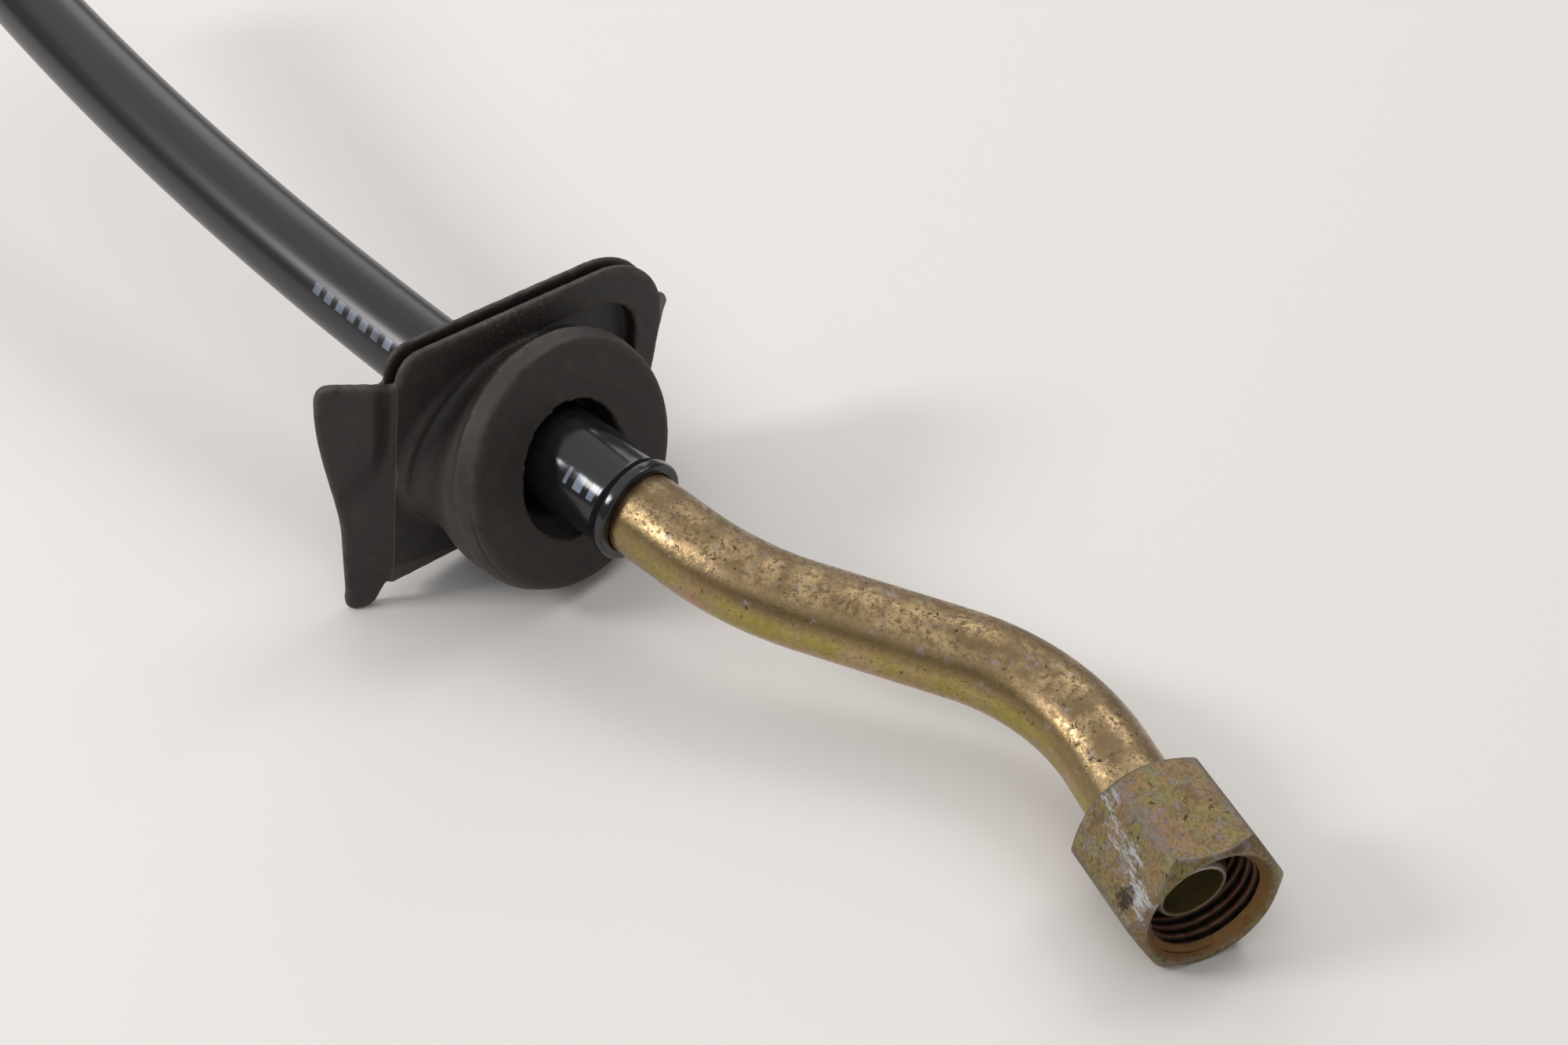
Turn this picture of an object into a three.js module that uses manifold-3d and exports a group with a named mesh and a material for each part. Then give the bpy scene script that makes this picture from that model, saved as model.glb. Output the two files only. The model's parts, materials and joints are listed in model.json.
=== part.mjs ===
// Brake booster line, engine end: a black polyamide vacuum line pressed over a bent steel tube,
// with the tube's union nut and the moulded rubber grommet that seals the line in the bulkhead.
// Millimetres, +Z up. It lies as it comes to rest: on a flat of the nut, on the grommet's plate and
// on the tip of the grommet's ear. +X runs along the straight run, from the line to the nut.
import * as THREE from "three";
import { mergeVertices } from "three/addons/utils/BufferGeometryUtils.js";
import Module from "manifold-3d";

// Clearances
const FIT = 0.25; // between two pieces that touch when they are made
const NUT_PLAY = 0.4; // radial play of the union nut on its tube, which lets it hang askew

// Steel tube
const TUBE_OD = 12;
const TUBE_WALL = 1.5;
const NOSE_LENGTH = 3; // the coned mouth that seals against the mating seat
const NOSE_RIM_OD = 8.95;
const NOSE_RIM_WALL = 0.5;
const BEAD_HEIGHT = 0.6; // rolled bead that keeps the nut on the tube
const BEAD_LENGTH = 2.5;
const BEAD_SETBACK = 4.2; // from the nose's rim to the bead
const STEM_OD = 9.2; // swaged end inside the plastic line
const STEM_WALL = 1.2;
const STEM_LENGTH = 24;
const SHOULDER_LENGTH = 2.4;
const BARB_HEIGHT = 0.4;
const BARB_PITCH = 5;
const BARB_COUNT = 3;

// Route of tube and line, from the nose backwards
const FALL_DEG = 6; // the whole route climbs this much towards the line's far end
const NUT_STRAIGHT = 21.8;
const NUT_BEND_RADIUS = 30;
const NUT_HEADING_DEG = -23.8;
const MID_STRAIGHT = 20.9;
const MID_HEADING_DEG = 23.9;
const LINE_BEND_RADIUS = 45;
const TUBE_STRAIGHT = 9.1; // bare tube between its second bend and the line's lip
const LINE_STRAIGHT = 29;
const SWEEP_RADIUS = 700;
const SWEEP_DEG = 12;
const TAIL_STRAIGHT = 20;

// Plastic line
const LINE_OD = 12.5;
const LINE_BORE = 8.73;
const LIP_OD = 15;
const LIP_LENGTH = 2;
const BELL_LENGTH = 7;
const NECK_DIP = 0.25; // the waist just behind the lip
const LINE_END_CHAMFER = 0.5;

// Union nut
const NUT_FLATS = 19;
const NUT_LENGTH = 16.5;
const NUT_THREAD_MINOR = 14.4; // M16 x 1.5
const NUT_MOUTH_DIA = 17.4;
const NUT_MOUTH_DEPTH = 1.5;
const NUT_COLLAR_LENGTH = 3.7;
const NUT_CHAMFER_DIA = 18.4;
const NUT_CHAMFER_DEG = 40;
const NUT_REAR_CHAMFER = 0.4;
const NUT_PIVOT = 10.7; // from the nose's rim back to the middle of the nut's collar

// Rubber grommet: plates
const PLATE_WIDTH = 48;
const PLATE_HEIGHT = 37.9;
const PLATE_STEP = 0.8; // above the whole ear, the plate's left edge steps in this much
const PLATE_STEP_HEIGHT = 14.2;
const PLATE_LEFT_SHOULDER = 3.8;
const PLATE_LEFT_FOOT = 0.8;
const PLATE_RIGHT_SHOULDER = 13;
const PLATE_RIGHT_FOOT = 9;
const PLATE_BULGE = 1; // the right shoulder reaches out this much past the hinge of the torn ear
const PLATE_TORN_IN = 1.7; // and the torn edge below it draws in this much
const FRONT_PLATE = 1.3;
const GROOVE_WIDTH = 1.4;
const GROOVE_DEPTH = 3.5;
const REAR_PLATE = 1;
const PLATE_STATION = 25.3; // from the lip back to the plate, along the line
const PLATE_SIDE_SHIFT = 3; // the plate's middle lies beside the line's axis
const PLATE_YAW_DEG = -2.5;
const PLATE_LEAN_DEG = 3.75;
const PLATE_ROLL_DEG = -5.25;

// Rubber grommet: oval web, neck and collar
const WEB_HALF_WIDTH = 21.6;
const WEB_HALF_HEIGHT = 14.1;
const WEB_SIDE_SHIFT = -1.6;
const WEB_SINK = 0.45; // its middle lies this far below the plate's face
const WEB_TILT_DEG = 4.6; // its left side stands proud of the plate and its right side is sunk
const WEB_BED_TILT_DEG = 3.6;
const WEB_BED = 2; // it is rooted this deep below the plate's face
const WEB_EDGE_ROUND = 1.1;
const WEB_EDGE_LEAST = 0.1;
const WEB_SQUARE_LEFT = 2; // powers of its outline: an ellipse on the left, nearly a box on the right
const WEB_SQUARE_RIGHT = 4;
const COLLAR_OD = 36.2;
const COLLAR_REAR_OD = 37.6;
const COLLAR_LENGTH = 3.2;
const COLLAR_ROUND = 0.8;
const COLLAR_STATION = 12.8; // from the lip back to the collar's face
const COLLAR_TILT_DEG = 12; // its face looks up this much
const NECK_STEP = 0.5; // the neck starts this much inside the collar's rear edge
const NECK_WAIST = 16.6; // its radius where it is slimmest
const NECK_FLATNESS = 0.75; // its foot is this much lower than wide
const NECK_ROOT = 0.5; // it is rooted this deep in the web and in the collar
const FOOT_SPREAD = 1.8;
const MOUTH_DIA = 17.6;
const MOUTH_DEPTH = 8;
const MOUTH_ROUND = 0.6;
const SEAL_LENGTH = 4;
const REAR_OPENING_DIA = 17;

// Rubber grommet: ears
const EAR_THICKNESS = 1.7;
const EAR_SWEPT_BACK_DEG = 30;
const EAR_SETBACK = 0.15; // its hinge line lies this far behind the plate's face
const EAR_TOP = 14.8;
const EAR_WIDTH = 10.3;
const EAR_WAIST = 6.5;
const EAR_TIP = -23.1;
const STUB_WIDTH = 6.6; // what is left of the torn ear
const STUB_ROOT = 1; // it starts this far inside its hinge line

// Facets
const ROUND_SIDES = 32;
const BORE_SIDES = 32;
const GROMMET_SIDES = 48;
const BEND_STEP = 3; // length of a facet along a bend
const SWEEP_STEP = 10;

const rad = THREE.MathUtils.degToRad;

/** A route of straights and circular bends, measured by its length from the start. */
class BentRoute {
  constructor(start, direction) {
    this.end = start.clone();
    this.facing = direction.clone();
    this.length = 0;
    this.pieces = [];
  }

  straight(length) {
    const from = this.end.clone();
    const facing = this.facing.clone();
    this.pieces.push({
      start: this.length,
      step: Infinity,
      locate: (s) => [from.clone().addScaledVector(facing, s), facing.clone()],
    });
    return this.advance(length);
  }

  /** Turns to a new direction along an arc; step is the facet length along it. */
  bendTo(direction, radius, step) {
    const from = this.end.clone();
    const facing = this.facing.clone();
    const axis = new THREE.Vector3().crossVectors(facing, direction).normalize();
    const inward = new THREE.Vector3().crossVectors(axis, facing);
    this.pieces.push({
      start: this.length,
      step,
      locate: (s) => {
        const turn = s / radius;
        const point = from.clone().addScaledVector(facing, radius * Math.sin(turn));
        point.addScaledVector(inward, radius * (1 - Math.cos(turn)));
        return [point, facing.clone().applyAxisAngle(axis, turn)];
      },
    });
    return this.advance(radius * facing.angleTo(direction));
  }

  advance(length) {
    const piece = this.pieces.at(-1);
    piece.length = length;
    [this.end, this.facing] = piece.locate(length);
    this.length += length;
    return this;
  }

  /** Point and direction at a length from the start; past either end it runs on straight. */
  at(s) {
    const piece = this.pieces.findLast((p) => s >= p.start) ?? this.pieces[0];
    return piece.locate(s - piece.start);
  }

  /** Lengths between two stations at which a faceted tube needs a ring, ends left out. */
  ringsBetween(from, to) {
    const rings = [];
    for (const piece of this.pieces) {
      const count = Math.max(1, Math.ceil(piece.length / piece.step));
      for (let i = 0; i <= count; i++) rings.push(piece.start + (piece.length * i) / count);
    }
    const inside = rings.filter((s, i) => s > from + FIT && s < to - FIT && s - (rings[i - 1] ?? -1) > FIT);
    return inside;
  }
}

/** The direction from the nose back to the line, for a heading of the tube towards the nut. */
function backwards(headingDeg) {
  const fall = rad(FALL_DEG);
  const heading = rad(headingDeg);
  return new THREE.Vector3(
    -Math.cos(heading) * Math.cos(fall),
    -Math.sin(heading) * Math.cos(fall),
    Math.sin(fall),
  );
}

const nutPivot = new THREE.Vector3(0, 0, NUT_FLATS / 2);
const nose = nutPivot.clone().addScaledVector(backwards(NUT_HEADING_DEG), -NUT_PIVOT);
const route = new BentRoute(nose, backwards(NUT_HEADING_DEG))
  .straight(NUT_STRAIGHT)
  .bendTo(backwards(MID_HEADING_DEG), NUT_BEND_RADIUS, BEND_STEP)
  .straight(MID_STRAIGHT)
  .bendTo(backwards(0), LINE_BEND_RADIUS, BEND_STEP)
  .straight(TUBE_STRAIGHT);
const lip = route.length;
route
  .straight(LINE_STRAIGHT)
  .bendTo(backwards(-SWEEP_DEG), SWEEP_RADIUS, SWEEP_STEP)
  .straight(TAIL_STRAIGHT);

/** Profile points [station, radius] with the rings that the route's bends need added between them. */
function followRoute(profile) {
  const points = [];
  profile.forEach(([s, r], i) => {
    points.push([s, r]);
    const next = profile[i + 1];
    if (!next || next[0] === s) return;
    const rings = route.ringsBetween(Math.min(s, next[0]), Math.max(s, next[0]));
    if (next[0] < s) rings.reverse();
    for (const ring of rings) {
      const share = (ring - s) / (next[0] - s);
      points.push([ring, THREE.MathUtils.lerp(r, next[1], share)]);
    }
  });
  return points;
}

/** Turns a closed profile of [station, radius] and then bends it along the route. */
function turnedAndBent(profile, sides) {
  const closed = followRoute([...profile, profile[0]]);
  const outline = closed.map(([s, r]) => new THREE.Vector2(r, s));
  const geometry = new THREE.LatheGeometry(outline, sides);
  const position = geometry.getAttribute("position");
  const up = new THREE.Vector3(0, 0, 1);
  for (let i = 0; i < position.count; i++) {
    const [point, facing] = route.at(position.getY(i));
    const side = new THREE.Vector3().crossVectors(up, facing).normalize();
    const top = new THREE.Vector3().crossVectors(facing, side);
    point.addScaledVector(side, position.getZ(i)).addScaledVector(top, position.getX(i));
    position.setXYZ(i, point.x, point.y, point.z);
  }
  return merged(geometry);
}

/** The same geometry with its shared corners merged, so that it is one closed mesh. */
function merged(geometry) {
  geometry.deleteAttribute("normal");
  geometry.deleteAttribute("uv");
  return mergeVertices(geometry, 1e-4);
}

/** A solid turned about +X from a profile of [along, radius] that starts and ends on the axis. */
function turned(profile, sides) {
  const outline = profile.map(([x, r]) => new THREE.Vector2(r, x));
  return new THREE.LatheGeometry(outline, sides).rotateZ(-Math.PI / 2);
}

/** A quarter-round corner as profile points, from one angle to another about its centre. */
function cornerArc(x, r, radius, fromDeg, toDeg, steps = 4) {
  return Array.from({ length: steps + 1 }, (_, i) => {
    const angle = rad(THREE.MathUtils.lerp(fromDeg, toDeg, i / steps));
    return [x + radius * Math.cos(angle), r + radius * Math.sin(angle)];
  });
}

const wasm = await Module();
wasm.setup();

function solid(geometry) {
  const closed = merged(geometry.clone());
  return new wasm.Manifold(
    new wasm.Mesh({
      numProp: 3,
      vertProperties: new Float32Array(closed.getAttribute("position").array),
      triVerts: new Uint32Array(closed.getIndex().array),
    }),
  );
}

function geometryOf(manifold) {
  const mesh = manifold.getMesh();
  const geometry = new THREE.BufferGeometry();
  geometry.setAttribute("position", new THREE.BufferAttribute(new Float32Array(mesh.vertProperties), 3));
  geometry.setIndex(new THREE.BufferAttribute(new Uint32Array(mesh.triVerts), 1));
  return geometry;
}

// Steel tube: coned nose, rolled bead, bends, shoulder and barbed stem
function steelTube() {
  const outer = TUBE_OD / 2;
  const bore = outer - TUBE_WALL;
  const rim = NOSE_RIM_OD / 2;
  const stem = STEM_OD / 2;
  const stemStart = lip + SHOULDER_LENGTH;
  const stemEnd = stemStart + STEM_LENGTH;
  const beadRamp = BEAD_LENGTH / 4;
  const profile = [
    [0, rim],
    [NOSE_LENGTH, outer],
    [BEAD_SETBACK, outer],
    [BEAD_SETBACK + beadRamp, outer + BEAD_HEIGHT],
    [BEAD_SETBACK + BEAD_LENGTH - beadRamp, outer + BEAD_HEIGHT],
    [BEAD_SETBACK + BEAD_LENGTH, outer],
    [lip + FIT, outer],
    [stemStart, stem],
  ];
  for (let i = 0; i < BARB_COUNT; i++) {
    const barb = stemEnd - (BARB_COUNT - i) * BARB_PITCH;
    profile.push([barb, stem], [barb + FIT, stem + BARB_HEIGHT], [barb + BARB_PITCH - FIT, stem]);
  }
  profile.push(
    [stemEnd, stem],
    [stemEnd, stem - STEM_WALL],
    [stemStart, stem - STEM_WALL],
    [lip, bore],
    [NOSE_LENGTH, bore],
    [0, rim - NOSE_RIM_WALL],
  );
  return turnedAndBent(profile, ROUND_SIDES);
}

// Plastic line: pushed over the stem up to the shoulder, its end belled out to a lip
function vacuumLine() {
  const outer = LINE_OD / 2;
  const bore = LINE_BORE / 2;
  const overBarbs = STEM_OD / 2 + BARB_HEIGHT + FIT;
  const stretched = overBarbs + (outer - bore);
  const stemStart = lip + SHOULDER_LENGTH;
  const stemEnd = stemStart + STEM_LENGTH;
  const relaxed = stemEnd + STEM_WALL * 4;
  const lipOuter = LIP_OD / 2;
  const lipRound = (lipOuter - TUBE_OD / 2 - FIT) / 3;
  const end = route.length;
  const profile = [
    [lip, TUBE_OD / 2 + FIT],
    [lip, lipOuter - lipRound],
    [lip + lipRound * 0.3, lipOuter - lipRound * 0.3],
    [lip + lipRound, lipOuter],
    [lip + LIP_LENGTH, lipOuter - lipRound * 0.2],
    [lip + LIP_LENGTH * 1.8, lipOuter - lipRound],
    [lip + BELL_LENGTH, stretched - NECK_DIP],
    [lip + BELL_LENGTH * 1.5, stretched],
    [stemEnd, stretched],
    [relaxed, outer],
    [end - LINE_END_CHAMFER, outer],
    [end, outer - LINE_END_CHAMFER],
    [end, bore],
    [relaxed, bore],
    [stemEnd + FIT, overBarbs],
    [stemStart + FIT * 3, overBarbs],
    [lip + FIT * 3, TUBE_OD / 2 + FIT],
  ];
  return turnedAndBent(profile, ROUND_SIDES);
}

// Union nut: a hexagon with chamfered corners, threaded mouth, cone and collar, about its own +X
function unionNut() {
  const rear = -NUT_COLLAR_LENGTH / 2;
  const front = rear + NUT_LENGTH;
  const corner = NUT_FLATS / Math.sqrt(3);
  const hexagon = new THREE.Shape();
  for (let i = 0; i < 6; i++) {
    const angle = rad(60 * i);
    hexagon[i ? "lineTo" : "moveTo"](corner * Math.cos(angle), corner * Math.sin(angle));
  }
  const bar = new THREE.ExtrudeGeometry(hexagon, { depth: NUT_LENGTH, bevelEnabled: false });
  bar.rotateX(Math.PI / 2).rotateZ(Math.PI / 2).translate(rear, 0, 0);

  const face = NUT_CHAMFER_DIA / 2;
  const beyond = corner + 1;
  const chamfer = (beyond - face) * Math.tan(rad(NUT_CHAMFER_DEG));
  const blank = turned(
    [[rear, 0], [rear, face], [rear + chamfer, beyond], [front - chamfer, beyond], [front, face], [front, 0]],
    GROMMET_SIDES,
  );

  const collar = TUBE_OD / 2 + NUT_PLAY;
  const minor = NUT_THREAD_MINOR / 2;
  const cone = NUT_COLLAR_LENGTH / 2 + (minor - collar);
  const bore = turned(
    [
      [rear - 1, 0],
      [rear - 1, collar + NUT_REAR_CHAMFER + 1],
      [rear + NUT_REAR_CHAMFER, collar],
      [NUT_COLLAR_LENGTH / 2, collar],
      [cone, minor],
      [front - NUT_MOUTH_DEPTH, minor],
      [front, NUT_MOUTH_DIA / 2],
      [front + 1, NUT_MOUTH_DIA / 2],
      [front + 1, 0],
    ],
    ROUND_SIDES,
  );
  return geometryOf(solid(bar).intersect(solid(blank)).subtract(solid(bore)));
}

/** The plate's outline drawn in by an inset: square on the left, round on the right and torn there. */
function plateOutline(inset) {
  const corner = (radius) => Math.max(radius - inset, PLATE_LEFT_FOOT / 2);
  const [w, h] = [PLATE_WIDTH / 2 - inset, PLATE_HEIGHT / 2 - inset];
  const [far, stepped, torn] = [w + PLATE_BULGE, w - PLATE_STEP, w + PLATE_BULGE - PLATE_TORN_IN];
  const [leftTop, leftFoot] = [corner(PLATE_LEFT_SHOULDER), corner(PLATE_LEFT_FOOT)];
  const [rightTop, rightFoot] = [corner(PLATE_RIGHT_SHOULDER), corner(PLATE_RIGHT_FOOT)];
  const step = Math.min(PLATE_STEP_HEIGHT, h - leftTop - PLATE_STEP);
  return new THREE.Shape()
    .absarc(far - rightTop, h - rightTop, rightTop, 0, Math.PI / 2)
    .absarc(-stepped + leftTop, h - leftTop, leftTop, Math.PI / 2, Math.PI)
    .lineTo(-stepped, step)
    .lineTo(-w, step - PLATE_STEP / 2)
    .absarc(-w + leftFoot, -h + leftFoot, leftFoot, Math.PI, 1.5 * Math.PI)
    .absarc(torn - rightFoot, -h + rightFoot, rightFoot, 1.5 * Math.PI, 2 * Math.PI);
}

/** A slab of an outline in the plate's plane, from one depth behind the plate's face to another. */
function slab(shape, fromDepth, toDepth) {
  const depth = toDepth - fromDepth;
  const geometry = new THREE.ExtrudeGeometry(shape, { depth, bevelEnabled: false, curveSegments: 6 });
  return geometry.rotateX(Math.PI / 2).rotateZ(Math.PI / 2).translate(-toDepth, 0, 0);
}

/** A closed skin over a stack of rings with equally many points each, its two ends capped. */
function skinned(rings) {
  const sides = rings[0].length;
  const centre = (ring) => ring.reduce((sum, p) => sum.add(p), new THREE.Vector3()).divideScalar(sides);
  const points = [...rings.flat(), centre(rings[0]), centre(rings.at(-1))];
  const index = [];
  const last = (rings.length - 1) * sides;
  for (let i = 0; i < sides; i++) {
    const next = (i + 1) % sides;
    for (let k = 0; k < last; k += sides) {
      index.push(k + i, k + next, k + sides + next, k + i, k + sides + next, k + sides + i);
    }
    index.push(points.length - 2, next, i, points.length - 1, last + i, last + next);
  }
  const geometry = new THREE.BufferGeometry().setFromPoints(points);
  return geometry.setIndex(index);
}

/** A ring in a plane given by its centre and normal, with a radius and a rise for each angle. */
function ring(centre, normal, radiusAt, riseAt = () => 0) {
  const turn = new THREE.Quaternion().setFromUnitVectors(new THREE.Vector3(1, 0, 0), normal);
  return Array.from({ length: GROMMET_SIDES }, (_, i) => {
    const angle = (2 * Math.PI * i) / GROMMET_SIDES;
    const r = radiusAt(angle);
    const point = new THREE.Vector3(riseAt(angle), r * Math.cos(angle), r * Math.sin(angle));
    return point.applyQuaternion(turn).add(centre);
  });
}

/** The web's radius at an angle: an ellipse on its left that squares up towards its right. */
function webRadius(angle) {
  const [c, s] = [Math.abs(Math.cos(angle)) / WEB_HALF_WIDTH, Math.abs(Math.sin(angle)) / WEB_HALF_HEIGHT];
  const power = THREE.MathUtils.lerp(WEB_SQUARE_LEFT, WEB_SQUARE_RIGHT, (1 + Math.cos(angle)) / 2);
  return (c ** power + s ** power) ** (-1 / power);
}

/** The rounding of the web's edge: full on its proud left side, least where it is sunk. */
function webEdge(angle) {
  return THREE.MathUtils.lerp(WEB_EDGE_ROUND, WEB_EDGE_LEAST, (1 + Math.cos(angle)) / 2);
}

/** An ear's slab, swept back from the plate's edge; side is -1 for the left one and 1 for the right. */
function ear(outline, side, setback) {
  const geometry = slab(outline, 0, EAR_THICKNESS);
  geometry.rotateZ(side * rad(EAR_SWEPT_BACK_DEG));
  return geometry.translate(-setback, (side * PLATE_WIDTH) / 2, 0);
}

/** The whole ear: broad above, waisted, with a tongue below that reaches the floor. */
function leftEarOutline() {
  const round = EAR_WIDTH / 5;
  return new THREE.Shape()
    .moveTo(0, EAR_TOP)
    .lineTo(-EAR_WIDTH + round, EAR_TOP + round / 3)
    .quadraticCurveTo(-EAR_WIDTH, EAR_TOP + round / 3, -EAR_WIDTH, EAR_TOP - round)
    .bezierCurveTo(-EAR_WIDTH, EAR_TOP / 4, -EAR_WAIST, EAR_TIP * 0.2, -EAR_WAIST, EAR_TIP * 0.5)
    .lineTo(-EAR_WAIST * 0.92, EAR_TIP * 0.88)
    .quadraticCurveTo(-EAR_WAIST, EAR_TIP, -EAR_WAIST * 0.7, EAR_TIP)
    .quadraticCurveTo(-EAR_WAIST * 0.3, EAR_TIP, -EAR_WAIST * 0.2, EAR_TIP * 0.89)
    .lineTo(0, EAR_TIP * 0.77)
    .closePath();
}

/** The torn ear: a short stub with a ragged edge. */
function rightEarOutline() {
  const w = STUB_WIDTH;
  return new THREE.Shape()
    .moveTo(-STUB_ROOT, w * 1.3)
    .lineTo(w * 0.36, w * 1.35)
    .lineTo(w * 0.64, w * 1.19)
    .lineTo(w * 0.88, w * 0.96)
    .lineTo(w, w * 0.76)
    .lineTo(w * 0.68, w * 0.6)
    .lineTo(w * 0.57, w * 0.38)
    .lineTo(w * 0.08, w * 0.05)
    .lineTo(-STUB_ROOT, -w * 0.05)
    .closePath();
}

// Rubber grommet: two plates with the bulkhead's groove between them, web, neck, collar and ears
function grommetPlates() {
  const plate = plateOutline(0);
  const core = plateOutline(GROOVE_DEPTH);
  const groove = FRONT_PLATE + GROOVE_WIDTH;
  return solid(slab(plate, 0, FRONT_PLATE))
    .add(solid(slab(core, FRONT_PLATE / 2, groove + REAR_PLATE / 2)))
    .add(solid(slab(plate, groove, groove + REAR_PLATE)))
    .add(solid(ear(leftEarOutline(), -1, EAR_SETBACK)))
    .add(solid(ear(rightEarOutline(), 1, STUB_ROOT / 2)));
}

const plateTurn = new THREE.Quaternion().setFromEuler(
  new THREE.Euler(rad(PLATE_ROLL_DEG), rad(PLATE_LEAN_DEG), rad(PLATE_YAW_DEG), "ZYX"),
);

/** Where the plate's middle comes to lie: beside the line, and as high as its lowest point asks. */
function platePlace(plates) {
  const turnedPlates = geometryOf(plates).applyQuaternion(plateTurn);
  turnedPlates.computeBoundingBox();
  const [onLine] = route.at(lip + PLATE_STATION);
  return new THREE.Vector3(onLine.x, onLine.y + PLATE_SIDE_SHIFT, -turnedPlates.boundingBox.min.z);
}

function rubberGrommet() {
  const plates = grommetPlates();
  const place = platePlace(plates);
  const toPlate = plateTurn.clone().invert();
  const intoPlate = (point) => point.clone().sub(place).applyQuaternion(toPlate);

  const outOfPlate = new THREE.Vector3(1, 0, 0);
  const tilted = (degrees) => outOfPlate.clone().applyAxisAngle(new THREE.Vector3(0, 0, 1), rad(degrees));
  const web = new THREE.Vector3(-WEB_SINK, WEB_SIDE_SHIFT, 0);
  const webNormal = tilted(WEB_TILT_DEG);
  const depth = FRONT_PLATE + GROOVE_WIDTH;
  const pocket = [
    ring(web, webNormal, webRadius),
    ring(web.clone().setX(WEB_HALF_WIDTH), outOfPlate, webRadius),
  ];
  const webRings = [
    ring(web.clone().setX(-WEB_BED), tilted(WEB_BED_TILT_DEG), webRadius),
    ...cornerArc(0, 0, 1, 90, 0).map(([rise, reach]) =>
      ring(web, webNormal, (a) => webRadius(a) - webEdge(a) * (1 - reach), (a) => webEdge(a) * (rise - 1)),
    ),
  ];

  const [collarPoint] = route.at(lip + COLLAR_STATION);
  const collarFace = intoPlate(collarPoint);
  const tilt = rad(COLLAR_TILT_DEG);
  const collarNormal = new THREE.Vector3(Math.cos(tilt), 0, Math.sin(tilt)).applyQuaternion(toPlate);
  const collarTurn = new THREE.Quaternion().setFromUnitVectors(new THREE.Vector3(1, 0, 0), collarNormal);
  const [collarRadius, collarRear] = [COLLAR_OD / 2, COLLAR_REAR_OD / 2];
  const collar = turned(
    [
      [-COLLAR_LENGTH, 0],
      [-COLLAR_LENGTH, collarRear - NECK_STEP / 2],
      [-COLLAR_LENGTH + NECK_STEP / 2, collarRear],
      ...cornerArc(-COLLAR_ROUND, collarRadius - COLLAR_ROUND, COLLAR_ROUND, 90, 0),
      [0, 0],
    ],
    GROMMET_SIDES,
  );
  collar.applyQuaternion(collarTurn).translate(collarFace.x, collarFace.y, collarFace.z);

  const neckTop = collarFace.clone().addScaledVector(collarNormal, NECK_ROOT - COLLAR_LENGTH);
  const overWeb = collarFace.clone().sub(web).dot(webNormal) / webNormal.x;
  const neckFoot = new THREE.Vector3(collarFace.x - overWeb - NECK_ROOT, collarFace.y, 0);
  const neckRings = [0, 0.12, 0.25, 0.4, 0.55, 0.7, 0.85, 1].map((share) => {
    const centre = neckFoot.clone().lerp(neckTop, share);
    const normal = webNormal.clone().lerp(collarNormal, share).normalize();
    const swell = THREE.MathUtils.smoothstep(share, 0.2, 0.8);
    const spread = FOOT_SPREAD * (1 - share) ** 4;
    const wide = THREE.MathUtils.lerp(NECK_WAIST, collarRear - NECK_STEP, swell) + spread;
    const flat = THREE.MathUtils.lerp(NECK_FLATNESS, 1, share);
    const radiusAt = (angle) => (wide * flat) / Math.hypot(flat * Math.cos(angle), Math.sin(angle));
    return ring(centre, normal, radiusAt);
  });

  const [, lineFacing] = route.at(lip + COLLAR_STATION);
  const boreAxis = lineFacing.negate().applyQuaternion(toPlate);
  const mouth = MOUTH_DIA / 2;
  const seal = LINE_OD / 2 + sleeveGrowth() + FIT;
  const through = PLATE_STATION - COLLAR_STATION + depth + REAR_PLATE + 2;
  const sealStart = -MOUTH_DEPTH;
  const sealEnd = sealStart - SEAL_LENGTH;
  const bore = turned(
    [
      [-through, 0],
      [-through, REAR_OPENING_DIA / 2],
      [sealEnd - 1, REAR_OPENING_DIA / 2],
      [sealEnd, seal],
      [sealStart, seal],
      [sealStart + 1, mouth],
      [-2 * MOUTH_ROUND, mouth],
      [-MOUTH_ROUND, mouth + MOUTH_ROUND * 0.3],
      [0, mouth + MOUTH_ROUND],
      [COLLAR_LENGTH, mouth + 3 * MOUTH_ROUND],
      [COLLAR_LENGTH, 0],
    ],
    GROMMET_SIDES,
  );
  const boreTurn = new THREE.Quaternion().setFromUnitVectors(new THREE.Vector3(1, 0, 0), boreAxis);
  bore.applyQuaternion(boreTurn).translate(collarFace.x, collarFace.y, collarFace.z);

  const body = plates
    .subtract(solid(skinned(pocket)))
    .add(solid(skinned(webRings)))
    .add(solid(skinned(neckRings)))
    .add(solid(collar))
    .subtract(solid(bore));
  return { geometry: geometryOf(body), place };
}

/** How much the line's radius grows where it is stretched over the barbed stem. */
function sleeveGrowth() {
  return (STEM_OD - LINE_BORE) / 2 + BARB_HEIGHT + FIT;
}

/** A named mesh with its own finish. */
function piece(name, geometry, color, roughness, metalness) {
  const mesh = new THREE.Mesh(geometry, new THREE.MeshStandardMaterial({ color, roughness, metalness }));
  mesh.name = name;
  return mesh;
}

const model = new THREE.Group();
model.add(piece("steel_tube", steelTube(), 0x9c7d4c, 0.35, 1));
model.add(piece("vacuum_line", vacuumLine(), 0x1b1b1d, 0.3, 0));

const nut = piece("union_nut", unionNut(), 0x8f7b45, 0.6, 0.8);
nut.position.copy(nutPivot);
nut.rotation.z = rad(NUT_HEADING_DEG);
model.add(nut);

const grommet = rubberGrommet();
const grommetPiece = piece("bulkhead_grommet", grommet.geometry, 0x2f2c2a, 0.9, 0);
grommetPiece.position.copy(grommet.place);
grommetPiece.quaternion.copy(plateTurn);
model.add(grommetPiece);

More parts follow.
